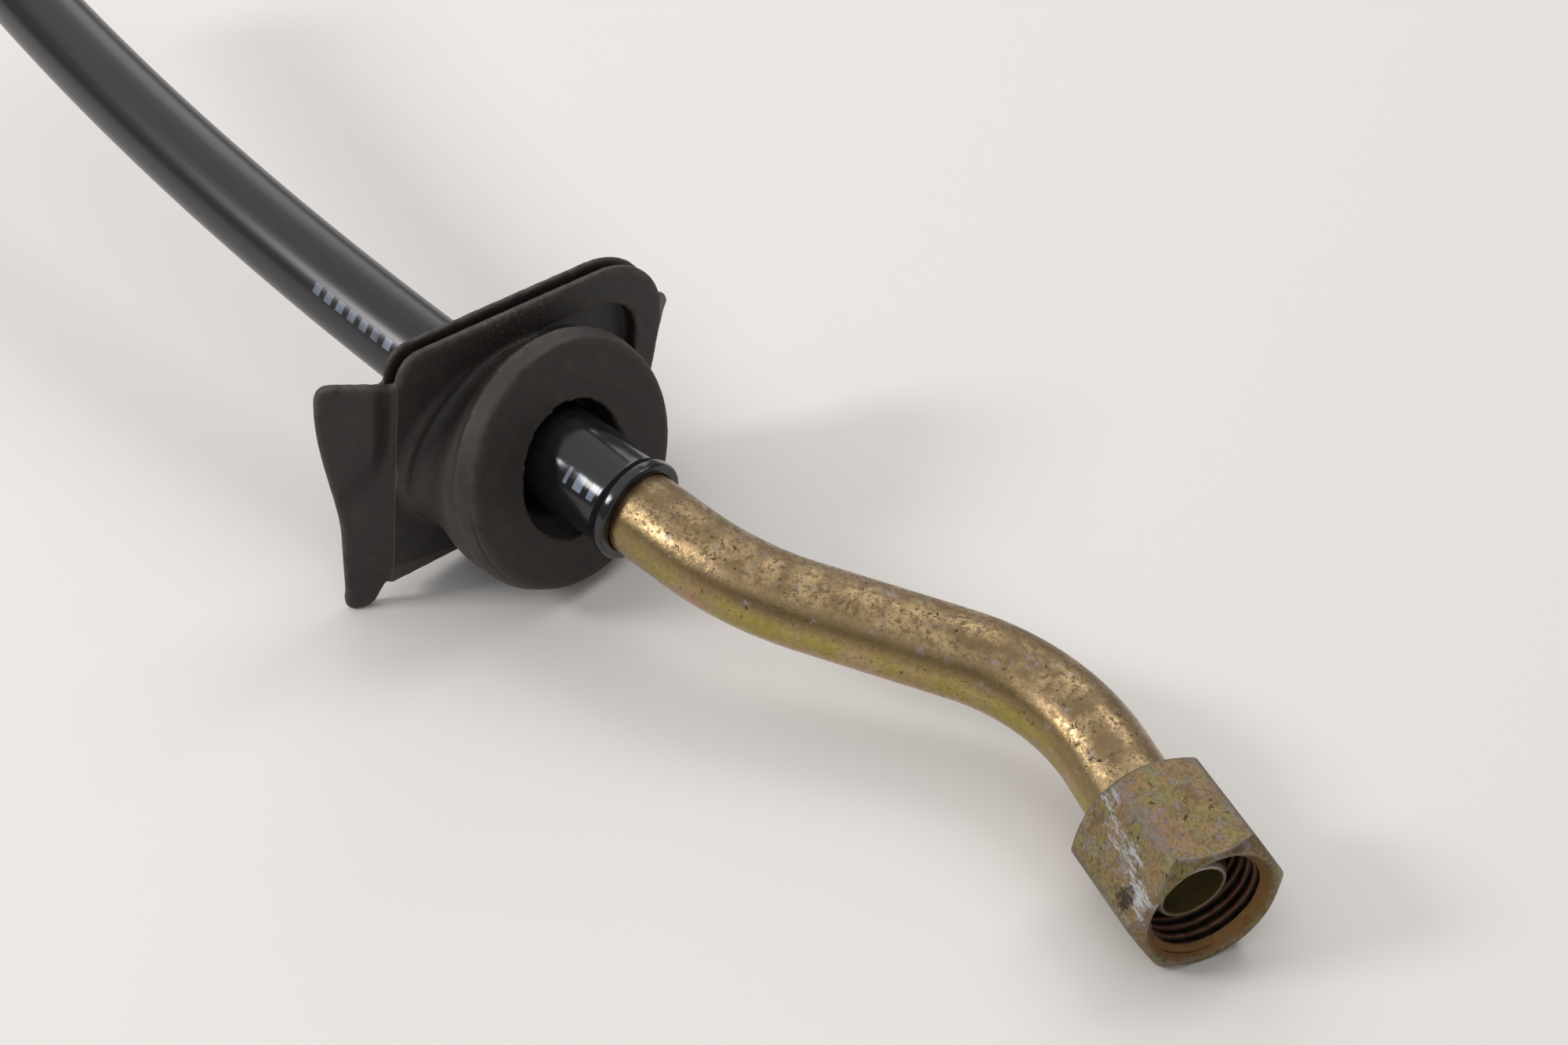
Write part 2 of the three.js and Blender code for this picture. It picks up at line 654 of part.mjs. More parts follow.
// The origin is at the middle of the floor under the whole part
model.updateMatrixWorld(true);
const bounds = new THREE.Box3().setFromObject(model, true);
const middle = bounds.getCenter(new THREE.Vector3());
model.position.set(-middle.x, -middle.y, -bounds.min.z);

export default model;
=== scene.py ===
"""Brake booster line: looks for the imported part, in its own frame, seen as in the photograph.

The steel tube, the plastic line, the union nut and the rubber grommet are each a fine mesh that
stands for the solid of the same name. All sizes are in millimetres until a mesh is made.
"""

import json
import logging
import math
from collections.abc import Callable, Sequence
from dataclasses import dataclass, field
from enum import Enum

import bpy
import numpy as np
from mathutils import Matrix, Vector

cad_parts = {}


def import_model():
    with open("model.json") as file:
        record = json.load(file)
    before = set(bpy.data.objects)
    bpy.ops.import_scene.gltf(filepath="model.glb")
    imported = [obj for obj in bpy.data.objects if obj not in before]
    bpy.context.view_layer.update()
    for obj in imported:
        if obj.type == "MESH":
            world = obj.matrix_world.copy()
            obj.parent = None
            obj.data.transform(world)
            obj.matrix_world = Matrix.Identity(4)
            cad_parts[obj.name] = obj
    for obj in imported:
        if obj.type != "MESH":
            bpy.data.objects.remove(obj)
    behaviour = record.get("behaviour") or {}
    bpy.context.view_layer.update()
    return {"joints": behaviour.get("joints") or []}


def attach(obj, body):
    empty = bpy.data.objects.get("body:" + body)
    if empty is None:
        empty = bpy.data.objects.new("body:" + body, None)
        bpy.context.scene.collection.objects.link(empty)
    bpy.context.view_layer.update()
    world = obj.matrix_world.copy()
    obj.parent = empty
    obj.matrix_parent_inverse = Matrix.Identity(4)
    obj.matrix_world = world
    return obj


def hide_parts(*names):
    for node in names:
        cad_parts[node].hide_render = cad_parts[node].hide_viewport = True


log = logging.getLogger("brake_booster_line")

MM = 0.001
UV_MAP = "around_and_along"
Socket = bpy.types.NodeSocket
Material = bpy.types.Material
Object = bpy.types.Object
Located = tuple[np.ndarray, np.ndarray]


class Body(str, Enum):
    """The rigid bodies that pieces ride on."""

    LINE = "line"
    NUT = "nut"


def linear(hex_colour: str) -> tuple[float, float, float, float]:
    """Turns an sRGB hex colour into linear RGBA.

    Args:
        hex_colour: Six hex digits, such as "a0b1c2".

    Returns:
        The linear colour, with alpha 1.
    """
    values = [int(hex_colour[i : i + 2], 16) / 255 for i in (0, 2, 4)]
    r, g, b = [v / 12.92 if v <= 0.04045 else ((v + 0.055) / 1.055) ** 2.4 for v in values]
    return (r, g, b, 1.0)


def unit(v: np.ndarray) -> np.ndarray:
    """Scales vectors along the last axis to length 1."""
    return v / np.linalg.norm(v, axis=-1, keepdims=True)


def backwards(heading: float, fall: float) -> np.ndarray:
    """The direction from the nose back to the line.

    Args:
        heading: Heading of the tube towards the nut, in radians.
        fall: How steeply the tube falls towards the nut, in radians.

    Returns:
        A unit vector.
    """
    level = math.cos(fall)
    return np.array([-math.cos(heading) * level, -math.sin(heading) * level, math.sin(fall)])


@dataclass
class Route:
    """Straights and circular bends, measured by length from the start."""

    end: np.ndarray
    facing: np.ndarray
    length: float = 0.0
    pieces: list[tuple[float, Callable[[np.ndarray], Located]]] = field(default_factory=list)

    def straight(self, length: float) -> "Route":
        """Goes straight on for a length."""
        start, facing = self.end, self.facing

        def locate(s: np.ndarray) -> Located:
            """Points and directions on this straight."""
            return start + s[:, None] * facing, np.broadcast_to(facing, (len(s), 3))

        return self._add(length, locate)

    def bend_to(self, direction: np.ndarray, radius: float) -> "Route":
        """Turns to a new direction along an arc of a radius."""
        start, facing = self.end, self.facing
        axis = unit(np.cross(facing, direction))
        inward = np.cross(axis, facing)
        turn = math.acos(float(np.clip(facing @ direction, -1, 1)))

        def locate(s: np.ndarray) -> Located:
            """Points and directions on this arc."""
            sin, cos = np.sin(s / radius)[:, None], np.cos(s / radius)[:, None]
            return start + radius * (sin * facing + (1 - cos) * inward), cos * facing + sin * inward

        return self._add(radius * turn, locate)

    def _add(self, length: float, locate: Callable[[np.ndarray], Located]) -> "Route":
        """Appends a piece and moves the route's end to its end."""
        self.pieces.append((self.length, locate))
        points, facings = locate(np.array([length]))
        self.end, self.facing = points[0], facings[0]
        self.length += length
        return self

    def at(self, s: np.ndarray) -> Located:
        """Points and directions at lengths from the start; past either end it runs on straight."""
        s = np.atleast_1d(np.asarray(s, float))
        points, facings = np.empty((len(s), 3)), np.empty((len(s), 3))
        starts = np.array([start for start, _ in self.pieces])
        which = np.clip(np.searchsorted(starts, s, side="right") - 1, 0, len(starts) - 1)
        for i, (start, locate) in enumerate(self.pieces):
            mask = which == i
            if mask.any():
                points[mask], facings[mask] = locate(s[mask] - start)
        return points, facings


def densified(profile: Sequence[tuple[float, float]], step: float) -> np.ndarray:
    """Adds points along a closed profile of (station, radius) so that none are further apart.

    Args:
        profile: The corners, in order; the last joins the first.
        step: Greatest distance between two points.

    Returns:
        An array of points.
    """
    corners = np.array(profile, float)
    rows = []
    for a, b in zip(corners, np.roll(corners, -1, axis=0)):
        count = max(1, math.ceil(abs(b[0] - a[0]) / step))
        rows.append(a + (b - a) * np.arange(count)[:, None] / count)
    return np.vstack(rows)


def rounded(
    profile: Sequence[tuple[float, float, float]], steps: int = 4
) -> list[tuple[float, float]]:
    """Rounds the corners of a closed profile.

    Args:
        profile: Corners as (station, radius, rounding).
        steps: Points along each rounding, less one.

    Returns:
        The profile with its corners cut by quadratic curves.
    """
    points = []
    count, most = len(profile), 0.45  # of a side that a rounding may take
    for i, (x, r, size) in enumerate(profile):
        here = np.array([x, r])
        if size <= 0:
            points.append((x, r))
            continue
        before, after = (np.array(profile[(i + k) % count][:2]) for k in (-1, 1))
        shorter = min(np.linalg.norm(before - here), np.linalg.norm(after - here))
        reach = min(size, most * shorter)
        a, b = here + reach * unit(before - here), here + reach * unit(after - here)
        for t in np.linspace(0, 1, steps + 1):
            points.append(tuple((1 - t) ** 2 * a + 2 * t * (1 - t) * here + t * t * b))
    return points


def piece(
    name: str,
    points: np.ndarray,
    faces: np.ndarray | list[list[int]],
    material: Material | None = None,
    sharp_deg: float = 40.0,
) -> Object:
    """Makes an object of points in millimetres.

    Args:
        name: The object's name.
        points: N by 3 array.
        faces: Corner indices of each face.
        material: Its material.
        sharp_deg: Edges that turn by more than this are shaded sharp.

    Returns:
        The object, linked to the scene.
    """
    mesh = bpy.data.meshes.new(name)
    mesh.from_pydata(points * MM, [], faces)
    mesh.validate()
    mesh.polygons.foreach_set("use_smooth", np.ones(len(mesh.polygons), bool))
    mesh.set_sharp_from_angle(angle=math.radians(sharp_deg))
    if material:
        mesh.materials.append(material)
    made = bpy.data.objects.new(name, mesh)
    bpy.context.scene.collection.objects.link(made)
    return made


def grid_faces(rows: int, columns: int) -> np.ndarray:
    """Quads over a grid whose rows and columns both close on themselves."""
    i, j = np.meshgrid(np.arange(rows), np.arange(columns), indexing="ij")
    i2, j2 = (i + 1) % rows, (j + 1) % columns
    quads = np.stack([i * columns + j, i2 * columns + j, i2 * columns + j2, i * columns + j2], -1)
    return quads.reshape(-1, 4)


def set_uv(made: Object, rows: int, columns: int, along: np.ndarray) -> None:
    """Gives a closed grid a UV map: U once round, V along in millimetres.

    Args:
        made: The grid's object.
        rows: Rows of the grid.
        columns: Columns of the grid.
        along: V of each row.
    """
    i, j = np.meshgrid(np.arange(rows), np.arange(columns), indexing="ij")
    here, after = along[i], along[(i + 1) % rows]
    u = np.stack([j, j, j + 1, j + 1], -1) / columns
    v = np.stack([here, after, after, here], -1)
    layer = made.data.uv_layers.new(name=UV_MAP)
    layer.data.foreach_set("uv", np.stack([u, v], -1).reshape(-1).astype(np.float32))


def points_of(made: Object) -> np.ndarray:
    """The points of an object's mesh, in millimetres."""
    points = np.empty(len(made.data.vertices) * 3, np.float32)
    made.data.vertices.foreach_get("co", points)
    return points.reshape(-1, 3).astype(float) / MM


def store(made: Object, name: str, values: np.ndarray) -> None:
    """Stores a vector or a number for each point, for a material to read.

    Args:
        made: The object.
        name: The attribute's name.
        values: N numbers, or N by 3.
    """
    kind, key = ("FLOAT_VECTOR", "vector") if values.ndim > 1 else ("FLOAT", "value")
    stored = made.data.attributes.new(name, kind, "POINT")
    stored.data.foreach_set(key, values.reshape(-1).astype(np.float32))


def swept(name: str, route: Route, profile: np.ndarray, sides: int, material: Material) -> Object:
    """Sweeps a closed profile of (station, radius) round and along a route.

    Each point is the route's point at its station plus its radius times a unit vector that turns
    from the top towards the side.

    Args:
        name: The object's name.
        route: What it follows.
        profile: Closed profile, in order.
        sides: Facets round.
        material: Its material.

    Returns:
        The object.
    """
    centre, facing = route.at(profile[:, 0])
    side = unit(np.cross([0.0, 0.0, 1.0], facing))
    top = np.cross(facing, side)
    angle = np.arange(sides) * 2 * math.pi / sides
    cos, sin = np.cos(angle)[None, :, None], np.sin(angle)[None, :, None]
    ring = cos * top[:, None] + sin * side[:, None]
    points = centre[:, None] + profile[:, 1, None, None] * ring
    made = piece(name, points.reshape(-1, 3), grid_faces(len(profile), sides), material)
    set_uv(made, len(profile), sides, profile[:, 0])
    store(made, "radius_mm", np.repeat(profile[:, 1], sides))
    return made


class Kind(Enum):
    """The kinds of node in use, each as its type, inputs in order, output and settings."""

    PLACE = ("TexCoord", (), "Object", {})
    STORED = ("Attribute", (), "Vector", {})
    UV = ("UVMap", (), 0, {"uv_map": UV_MAP})
    SCALED = ("Mapping", ("Vector", "Scale"), 0, {})
    X = ("SeparateXYZ", (0,), 0, {})
    Y = ("SeparateXYZ", (0,), 1, {})
    Z = ("SeparateXYZ", (0,), 2, {})
    JOINED = ("CombineXYZ", (0, 1, 2), 0, {})
    MOVED = ("VectorMath", (0, 1), 0, {"operation": "ADD"})
    LENGTH = ("VectorMath", (0,), "Value", {"operation": "LENGTH"})
    PLUS = ("Math", (0, 1), 0, {"operation": "ADD"})
    MINUS = ("Math", (0, 1), 0, {"operation": "SUBTRACT"})
    TIMES = ("Math", (0, 1), 0, {"operation": "MULTIPLY"})
    OVER = ("Math", (0, 1), 0, {"operation": "DIVIDE"})
    MOST = ("Math", (0, 1), 0, {"operation": "MAXIMUM"})
    SIZE = ("Math", (0,), 0, {"operation": "ABSOLUTE"})
    FRACTION = ("Math", (0,), 0, {"operation": "FRACT"})
    BAND = ("MapRange", ("Value", "From Min", "From Max"), 0, {"interpolation_type": "SMOOTHSTEP"})
    MIX = ("Mix", (0, 6, 7), 2, {"data_type": "RGBA"})
    NOISE = ("TexNoise", ("Vector", "Scale", "Detail", "Roughness"), 0, {})
    BUMP = ("Bump", ("Height", "Distance", "Strength", "Normal"), 0, {})
    SHADER = (
        "BsdfPrincipled",
        ("Base Color", "Roughness", "Metallic", "Specular IOR Level", "Normal"),
        0,
        {},
    )
    OUTPUT = ("OutputMaterial", ("Surface",), None, {})


class Graph:
    """One material's node tree; lengths are in millimetres."""

    def __init__(self, name: str) -> None:
        """Starts an empty material of that name."""
        self.material = bpy.data.materials.new(name)
        self.material.use_nodes = True
        self.tree = self.material.node_tree
        self.tree.nodes.clear()

    def add(self, kind: Kind, *values: object, **settings: object) -> Socket | None:
        """Adds a node; arithmetic on more than two values adds a chain of them.

        Args:
            kind: The kind of node.
            *values: Sockets, constants or hex colours for its inputs; None leaves one alone.
            **settings: More of its own properties.

        Returns:
            Its output.
        """
        type_name, inputs, output, fixed = kind.value
        if type_name == "Math" and len(values) > len(inputs):
            values = (self.add(kind, *values[:-1]), values[-1])
        made = self.tree.nodes.new("ShaderNode" + type_name)
        for key, value in (fixed | settings).items():
            setattr(made, key, value)
        for key, value in zip(inputs, values):
            if isinstance(value, Socket):
                self.tree.links.new(value, made.inputs[key])
            elif value is not None:
                made.inputs[key].default_value = linear(value) if isinstance(value, str) else value
        return None if output is None else made.outputs[output]

    def here(self) -> Socket:
        """Object coordinates in millimetres."""
        return self.add(Kind.SCALED, self.add(Kind.PLACE), (1 / MM,) * 3)

    def about(self, value: Socket, middle: float, outer: float, inner: float) -> Socket:
        """1 nearer to a middle than inner, and 0 further from it than outer."""
        away = self.add(Kind.SIZE, self.add(Kind.MINUS, value, middle))
        return self.add(Kind.BAND, away, outer, inner)

    def stain(self, colour: Socket, share: Socket, strength: float, other: object) -> Socket:
        """The colour with another laid over it where share is 1, this strongly."""
        return self.add(Kind.MIX, self.add(Kind.TIMES, share, strength), colour, other)

    def bumped(self, height: Socket, depth: float, normal: Socket | None = None) -> Socket:
        """A normal for a height between 0 and 1 that is this many millimetres deep."""
        return self.add(Kind.BUMP, height, depth * MM, 1.0, normal)

    def finish(
        self,
        colour: object,
        rough: object,
        metal: Socket | None = None,
        specular: float | None = None,
        normal: Socket | None = None,
    ) -> Material:
        """Closes the tree with a Principled shader.

        Args:
            colour: Its base colour.
            rough: Its roughness.
            metal: How metallic it is; left at 0 without one.
            specular: Its specular level; left at the default without one.
            normal: Its normal.

        Returns:
            The material.
        """
        self.add(Kind.OUTPUT, self.add(Kind.SHADER, colour, rough, metal, specular, normal))
        return self.material


@dataclass(frozen=True)
class Grain:
    """Noise in lumps of a size in millimetres; a shift sets one grain apart from another."""

    size: float
    detail: float = 4.0
    rough: float = 0.55
    shift: float = 0.0

    def at(self, g: Graph, where: Socket) -> Socket:
        """The noise at each place."""
        if self.shift:
            where = g.add(Kind.MOVED, where, (self.shift,) * 3)
        return g.add(Kind.NOISE, where, 1 / self.size, self.detail, self.rough)

    def patches(self, g: Graph, where: Socket, start: float, full: float) -> Socket:
        """Ragged patches: 0 where the noise is at start and 1 where it is at full."""
        return g.add(Kind.BAND, self.at(g, where), start, full)


@dataclass(frozen=True)
class Stain:
    """A colour that lies in ragged patches: its strength, grain, and where a patch starts."""

    colour: str
    strength: float
    grain: Grain
    start: float
    full: float

    def cover(self, g: Graph, where: Socket) -> Socket:
        """0 outside the patches and 1 inside them."""
        return self.grain.patches(g, where, self.start, self.full)

    def over(self, g: Graph, colour: Socket, share: Socket) -> Socket:
        """The colour under it, stained where share is 1."""
        return g.stain(colour, share, self.strength, self.colour)


@dataclass(frozen=True)
class ChromatedTube:
    """Drawn steel tube, zinc plated and yellow chromated, and old.

    The eye sees bright straw metal and a top dulled by brown speckles; an olive band along the side
    is a painted dark reflection, and the green and pink below it are the chromate's iridescence
    together with a painted reflection of the floor. Bluish oxide and dark pits lie over both, with
    rust at the line's lip, and the nose's end face is painted pale grey as a highlight of its edge.
    Bands are (middle, outer, inner) in shares of a turn from the top towards the camera.
    """

    lip: float
    straw: tuple[str, str] = ("9c8860", "c2a983")
    clouds: Grain = Grain(6.0, 6, 0.65)
    top: tuple[float, float, float] = (0.5, 0.2, 0.08)
    # Painted dark reflection: the olive band along the side, in the olive colour below.
    dark_reflection_band: tuple[float, float, float] = (0.19, 0.06, 0.015)
    # Green and pink on these two bands: the chromate's iridescence together with a painted
    # reflection of the floor.
    iridescent_reflection_band: tuple[float, float, float] = (0.28, 0.09, 0.03)
    edge_iridescent_reflection_band: tuple[float, float, float] = (0.36, 0.06, 0.02)
    olive: str = "67562c"
    green: Stain = Stain("a49b3e", 0.72, Grain(11.0, 5, 0.6, 8.0), 0.36, 0.56)
    pink: Stain = Stain("c0917a", 0.6, Grain(11.0, 5, 0.6, 8.0), 0.46, 0.34)
    speckle: Stain = Stain("5b4529", 0.88, Grain(0.9, 7, 0.78), 0.46, 0.58)
    stained: Grain = Grain(5.0, 7, 0.68, 3.0)
    oxide: Stain = Stain("8e8f99", 0.55, Grain(2.0, 8, 0.75, 31.0), 0.57, 0.66)
    pits: Stain = Stain("231a12", 0.9, Grain(0.7, 4, 0.6, 77.0), 0.61, 0.68)
    rust: Stain = Stain("5d3a22", 0.7, Grain(1.5, 5), 0.35, 0.6)
    bore: str = "6b6236"
    bore_radius: tuple[float, float] = (5.0, 4.6)
    # Painted highlight: the nose's end face is turned pale grey.
    rim: str = "a9a59b"
    rim_highlight_radius: tuple[float, float] = (4.1, 4.4)
    bump: float = 0.05

    def make(self) -> Material:
        """Makes the material."""
        g = Graph("zinc_plated_steel_yellow_chromated")
        here, uv = g.here(), g.add(Kind.UV)
        around, along = g.add(Kind.X, uv), g.add(Kind.Y, uv)
        radius = g.add(Kind.STORED, attribute_name="radius_mm")
        colour = g.add(Kind.MIX, self.clouds.at(g, here), *self.straw)
        top = g.about(g.add(Kind.FRACTION, g.add(Kind.PLUS, around, 0.5)), *self.top)
        # Green and pink on the low and edge bands: iridescence together with a painted reflection
        # of the floor.
        low = g.about(around, *self.iridescent_reflection_band)
        # Painted reflection: a dark olive band along the side.
        colour = g.stain(colour, g.about(around, *self.dark_reflection_band), 0.5, self.olive)
        colour = self.green.over(g, colour, g.add(Kind.TIMES, low, self.green.cover(g, here)))
        pink = g.add(Kind.TIMES, low, self.pink.cover(g, here))
        pink = g.add(Kind.MOST, pink, g.about(around, *self.edge_iridescent_reflection_band))
        colour = self.pink.over(g, colour, pink)

        on_top = g.add(Kind.PLUS, g.add(Kind.TIMES, top, 0.65), 0.3)
        brown = g.add(Kind.TIMES, self.speckle.cover(g, here), on_top)
        stained = self.stained.patches(g, here, 0.36, 0.6)
        brown = g.add(Kind.MOST, brown, g.add(Kind.TIMES, stained, top, 0.85))
        colour = self.speckle.over(g, colour, brown)
        oxide = self.oxide.cover(g, here)
        colour = self.oxide.over(g, colour, oxide)
        clusters = Grain(7.0, 3).patches(g, here, 0.38, 0.55)
        pits = g.add(Kind.TIMES, self.pits.cover(g, here), clusters)
        colour = self.pits.over(g, colour, pits)
        at_lip = g.add(Kind.BAND, along, self.lip - 1.6, self.lip - 0.3)
        colour = self.rust.over(g, colour, g.add(Kind.TIMES, at_lip, self.rust.cover(g, here)))
        inside = g.add(Kind.BAND, radius, *self.bore_radius)
        colour = g.stain(colour, inside, 0.8, self.bore)
        # Painted highlight: the nose's end face turned pale grey.
        at_nose = g.add(Kind.BAND, along, 0.9, 0.3)
        rim = g.add(Kind.TIMES, at_nose, g.add(Kind.BAND, radius, *self.rim_highlight_radius))
        colour = g.add(Kind.MIX, rim, colour, self.rim)

        dull = g.add(Kind.MOST, brown, oxide, pits)
        rough = g.add(Kind.PLUS, g.add(Kind.TIMES, Grain(1.5, 6).at(g, here), 0.2), 0.17)
        rough = g.add(Kind.PLUS, rough, g.add(Kind.TIMES, dull, 0.25), use_clamp=True)
        covered = g.add(Kind.TIMES, g.add(Kind.MOST, dull, inside), 0.55)
        pitted = g.add(Kind.TIMES, pits, 0.9)
        height = g.add(Kind.MINUS, Grain(0.6, 6, 0.65).at(g, here), pitted)
        metal = g.add(Kind.MINUS, 1.0, covered)
        return g.finish(colour, rough, metal, normal=g.bumped(height, self.bump))


@dataclass(frozen=True)
class OxidisedNut:
    """Machined steel nut, zinc plated and chromated, and old.

    The eye sees a dull metal mottled in tan, olive and brown with fine dark grain and purplish
    oxide, bare grey edges, whitish scuffs and a dark patch on the left flat, and a dark thread with
    painted shade in its roots and a painted highlight on its crests.
    """

    tan: str = "927753"
    olive: str = "877e49"
    clouds: Grain = Grain(4.0, 6, 0.65)
    brown: Stain = Stain("6c5740", 0.75, Grain(2.0, 8, 0.8, 31.0), 0.48, 0.6)
    oxide: Stain = Stain("857e80", 0.75, Grain(1.6, 10, 0.82, 19.0), 0.48, 0.6)
    fine: Stain = Stain("47382c", 0.55, Grain(0.45, 8, 0.85, 41.0), 0.46, 0.58)
    scuffs: Stain = Stain("b4b9bf", 0.8, Grain(1.0, 10, 0.82), 0.6, 0.7)
    worn: Stain = Stain("746d68", 0.8, Grain(1.0, 6, 0.7), 0.3, 0.55)
    spots: Stain = Stain("241a12", 0.9, Grain(0.9, 5, 0.65, 53.0), 0.62, 0.68)
    patch_at: tuple[float, float] = (10.8, 2.2)
    # Painted shade in the thread's roots, and a painted highlight on its crests.
    root: str = "241b15"
    lit_crest: str = "755443"
    lead_in: str = "7d5c36"
    bump: float = 0.09

    def make(self) -> Material:
        """Makes the material."""
        g = Graph("zinc_plated_steel_nut_oxidised")
        here = g.add(Kind.STORED, attribute_name="nut_mm")
        x, y, z = (g.add(axis, here) for axis in (Kind.X, Kind.Y, Kind.Z))
        radius = g.add(Kind.LENGTH, g.add(Kind.JOINED, 0.0, y, z))
        colour = g.add(Kind.MIX, self.clouds.patches(g, here, 0.42, 0.6), self.tan, self.olive)
        grey = self.oxide.cover(g, here)
        for stain, share in ((self.brown, self.brown.cover(g, here)), (self.oxide, grey)):
            colour = stain.over(g, colour, share)
        colour = self.fine.over(g, colour, self.fine.cover(g, here))

        left = g.add(Kind.TIMES, g.add(Kind.BAND, y, -4.6, -5.4), g.add(Kind.BAND, z, -0.4, 0.4))
        scuffs = g.add(Kind.TIMES, left, self._streaks(g, here, x, z))
        colour = self.scuffs.over(g, colour, scuffs)
        ragged_front = Grain(2.0, 5).patches(g, here, 0.3, 0.5)
        front = g.add(Kind.TIMES, g.add(Kind.BAND, x, 14.5, 14.62), ragged_front)
        edges = g.add(Kind.STORED, attribute_name="worn")
        off_front = g.add(Kind.MINUS, 1.0, front)
        edges = g.add(Kind.TIMES, edges, self.worn.cover(g, here), off_front)
        colour = self.worn.over(g, colour, edges)
        clusters = Grain(4.0, 3).patches(g, here, 0.38, 0.55)
        spots = g.add(Kind.TIMES, self.spots.cover(g, here), clusters)
        spots = g.add(Kind.MOST, spots, g.add(Kind.TIMES, left, self._patch(g, here, x, z)))
        colour = self.spots.over(g, colour, spots)

        # The thread: painted shade in its roots, painted highlight on its crests.
        thread = g.add(Kind.MIX, g.add(Kind.BAND, radius, 7.7, 7.22), self.root, self.lit_crest)
        thread = g.add(Kind.MIX, g.add(Kind.BAND, x, 12.9, 13.5), thread, self.lead_in)
        past_rear = g.add(Kind.BAND, x, -1.7, -1.0)
        inside = g.add(Kind.TIMES, g.add(Kind.BAND, radius, 8.6, 8.2), past_rear)
        colour = g.add(Kind.MIX, inside, colour, thread)

        matt = g.add(Kind.MOST, scuffs, grey, spots)
        rough = g.add(Kind.PLUS, g.add(Kind.TIMES, Grain(1.2, 6).at(g, here), 0.2), 0.36)
        rough = g.add(Kind.PLUS, rough, g.add(Kind.TIMES, matt, 0.15), use_clamp=True)
        metal = g.add(Kind.MINUS, 0.8, g.add(Kind.TIMES, matt, 0.5))
        sunk = g.add(Kind.TIMES, spots, 0.6)
        height = g.add(Kind.MINUS, Grain(0.5, 7, 0.7).at(g, here), sunk)
        return g.finish(colour, rough, metal, normal=g.bumped(height, self.bump))

    def _streaks(self, g: Graph, here: Socket, x: Socket, z: Socket) -> Socket:
        """Scuffs drawn out along the nut, most of them near a slanting line."""
        drawn = g.add(Kind.SCALED, g.add(Kind.MOVED, here, (7.0,) * 3), (0.3, 1.0, 1.0))
        slant = g.add(Kind.PLUS, g.add(Kind.TIMES, x, 0.3), g.add(Kind.MINUS, z, 7.4))
        near = g.add(Kind.BAND, g.add(Kind.SIZE, slant), 3.0, 0.6)
        streaks = g.add(Kind.PLUS, self.scuffs.grain.at(g, drawn), g.add(Kind.TIMES, near, 0.13))
        return g.add(Kind.BAND, streaks, self.scuffs.start, self.scuffs.full)

    def _patch(self, g: Graph, here: Socket, x: Socket, z: Socket) -> Socket:
        """A ragged dark patch: closeness to its middle, broken up by fine noise."""
        offset = (g.add(Kind.MINUS, value, at) for value, at in zip((x, z), self.patch_at))
        away = g.add(Kind.LENGTH, g.add(Kind.JOINED, *offset))
        ragged = g.add(Kind.TIMES, Grain(0.7, 8, 0.85).at(g, here), 8.0)
        return g.add(Kind.BAND, g.add(Kind.PLUS, away, ragged), 5.3, 4.6)


@dataclass(frozen=True)
class ExtrudedPolyamide:
    """Black polyamide line, extruded.

    The eye sees a half-gloss black with faint lines drawn along it and a few specks of dust, more
    glossy where it is stretched over the stem, and plain pale bars in place of its marking.
    """

    lip: float
    blacks: tuple[str, str] = ("161519", "1c1b1e")
    dust: Stain = Stain("8a8784", 0.3, Grain(0.5, 2, 0.5), 0.74, 0.79)
    marks: str = "8893a6"
    # Each row of bars: middle and half width in shares of a turn, and its ends from the lip.
    rows: tuple[tuple[float, float, float, float], ...] = (
        (0.155, 0.022, 38.0, 62.0),
        (0.14, 0.03, 3.5, 9.0),
    )
    bar_pitch: float = 2.6
    fading: Grain = Grain(5.0, 2, 0.5)
    bump: float = 0.002

    def make(self) -> Material:
        """Makes the material."""
        g = Graph("extruded_black_polyamide")
        here, uv = g.here(), g.add(Kind.UV)
        around, along = g.add(Kind.X, uv), g.add(Kind.Y, uv)
        lines = g.add(Kind.NOISE, g.add(Kind.SCALED, uv, (60.0, 0.012, 1.0)), 1.0, 2.0, 0.55)
        colour = g.add(Kind.MIX, g.add(Kind.BAND, lines, 0.35, 0.7), *self.blacks)
        colour = self.dust.over(g, colour, self.dust.cover(g, here))
        from_lip = g.add(Kind.MINUS, along, self.lip)
        colour = g.add(Kind.MIX, self._bars(g, around, from_lip, here), colour, self.marks)
        glossy = g.add(Kind.TIMES, g.add(Kind.BAND, from_lip, 22.0, 12.0), 0.15)
        rough = g.add(Kind.MINUS, 0.27, glossy)
        rough = g.add(Kind.PLUS, rough, g.add(Kind.TIMES, lines, 0.05))
        return g.finish(colour, rough, specular=0.5, normal=g.bumped(lines, self.bump))

    def _bars(self, g: Graph, around: Socket, from_lip: Socket, here: Socket) -> Socket:
        """Plain faded bars in two rows."""
        rows = []
        for middle, half, start, end in self.rows:
            across = g.about(around, middle, half, half * 0.9)
            beyond = g.add(Kind.BAND, from_lip, start, start + 0.1)
            before = g.add(Kind.BAND, from_lip, end, end - 0.1)
            rows.append(g.add(Kind.TIMES, across, beyond, before))
        steps = g.add(Kind.FRACTION, g.add(Kind.OVER, from_lip, self.bar_pitch))
        bars = g.about(steps, 0.5, 0.3, 0.27)
        faded = self.fading.patches(g, here, 0.15, 0.85)
        return g.add(Kind.TIMES, g.add(Kind.PLUS, *rows), bars, faded)


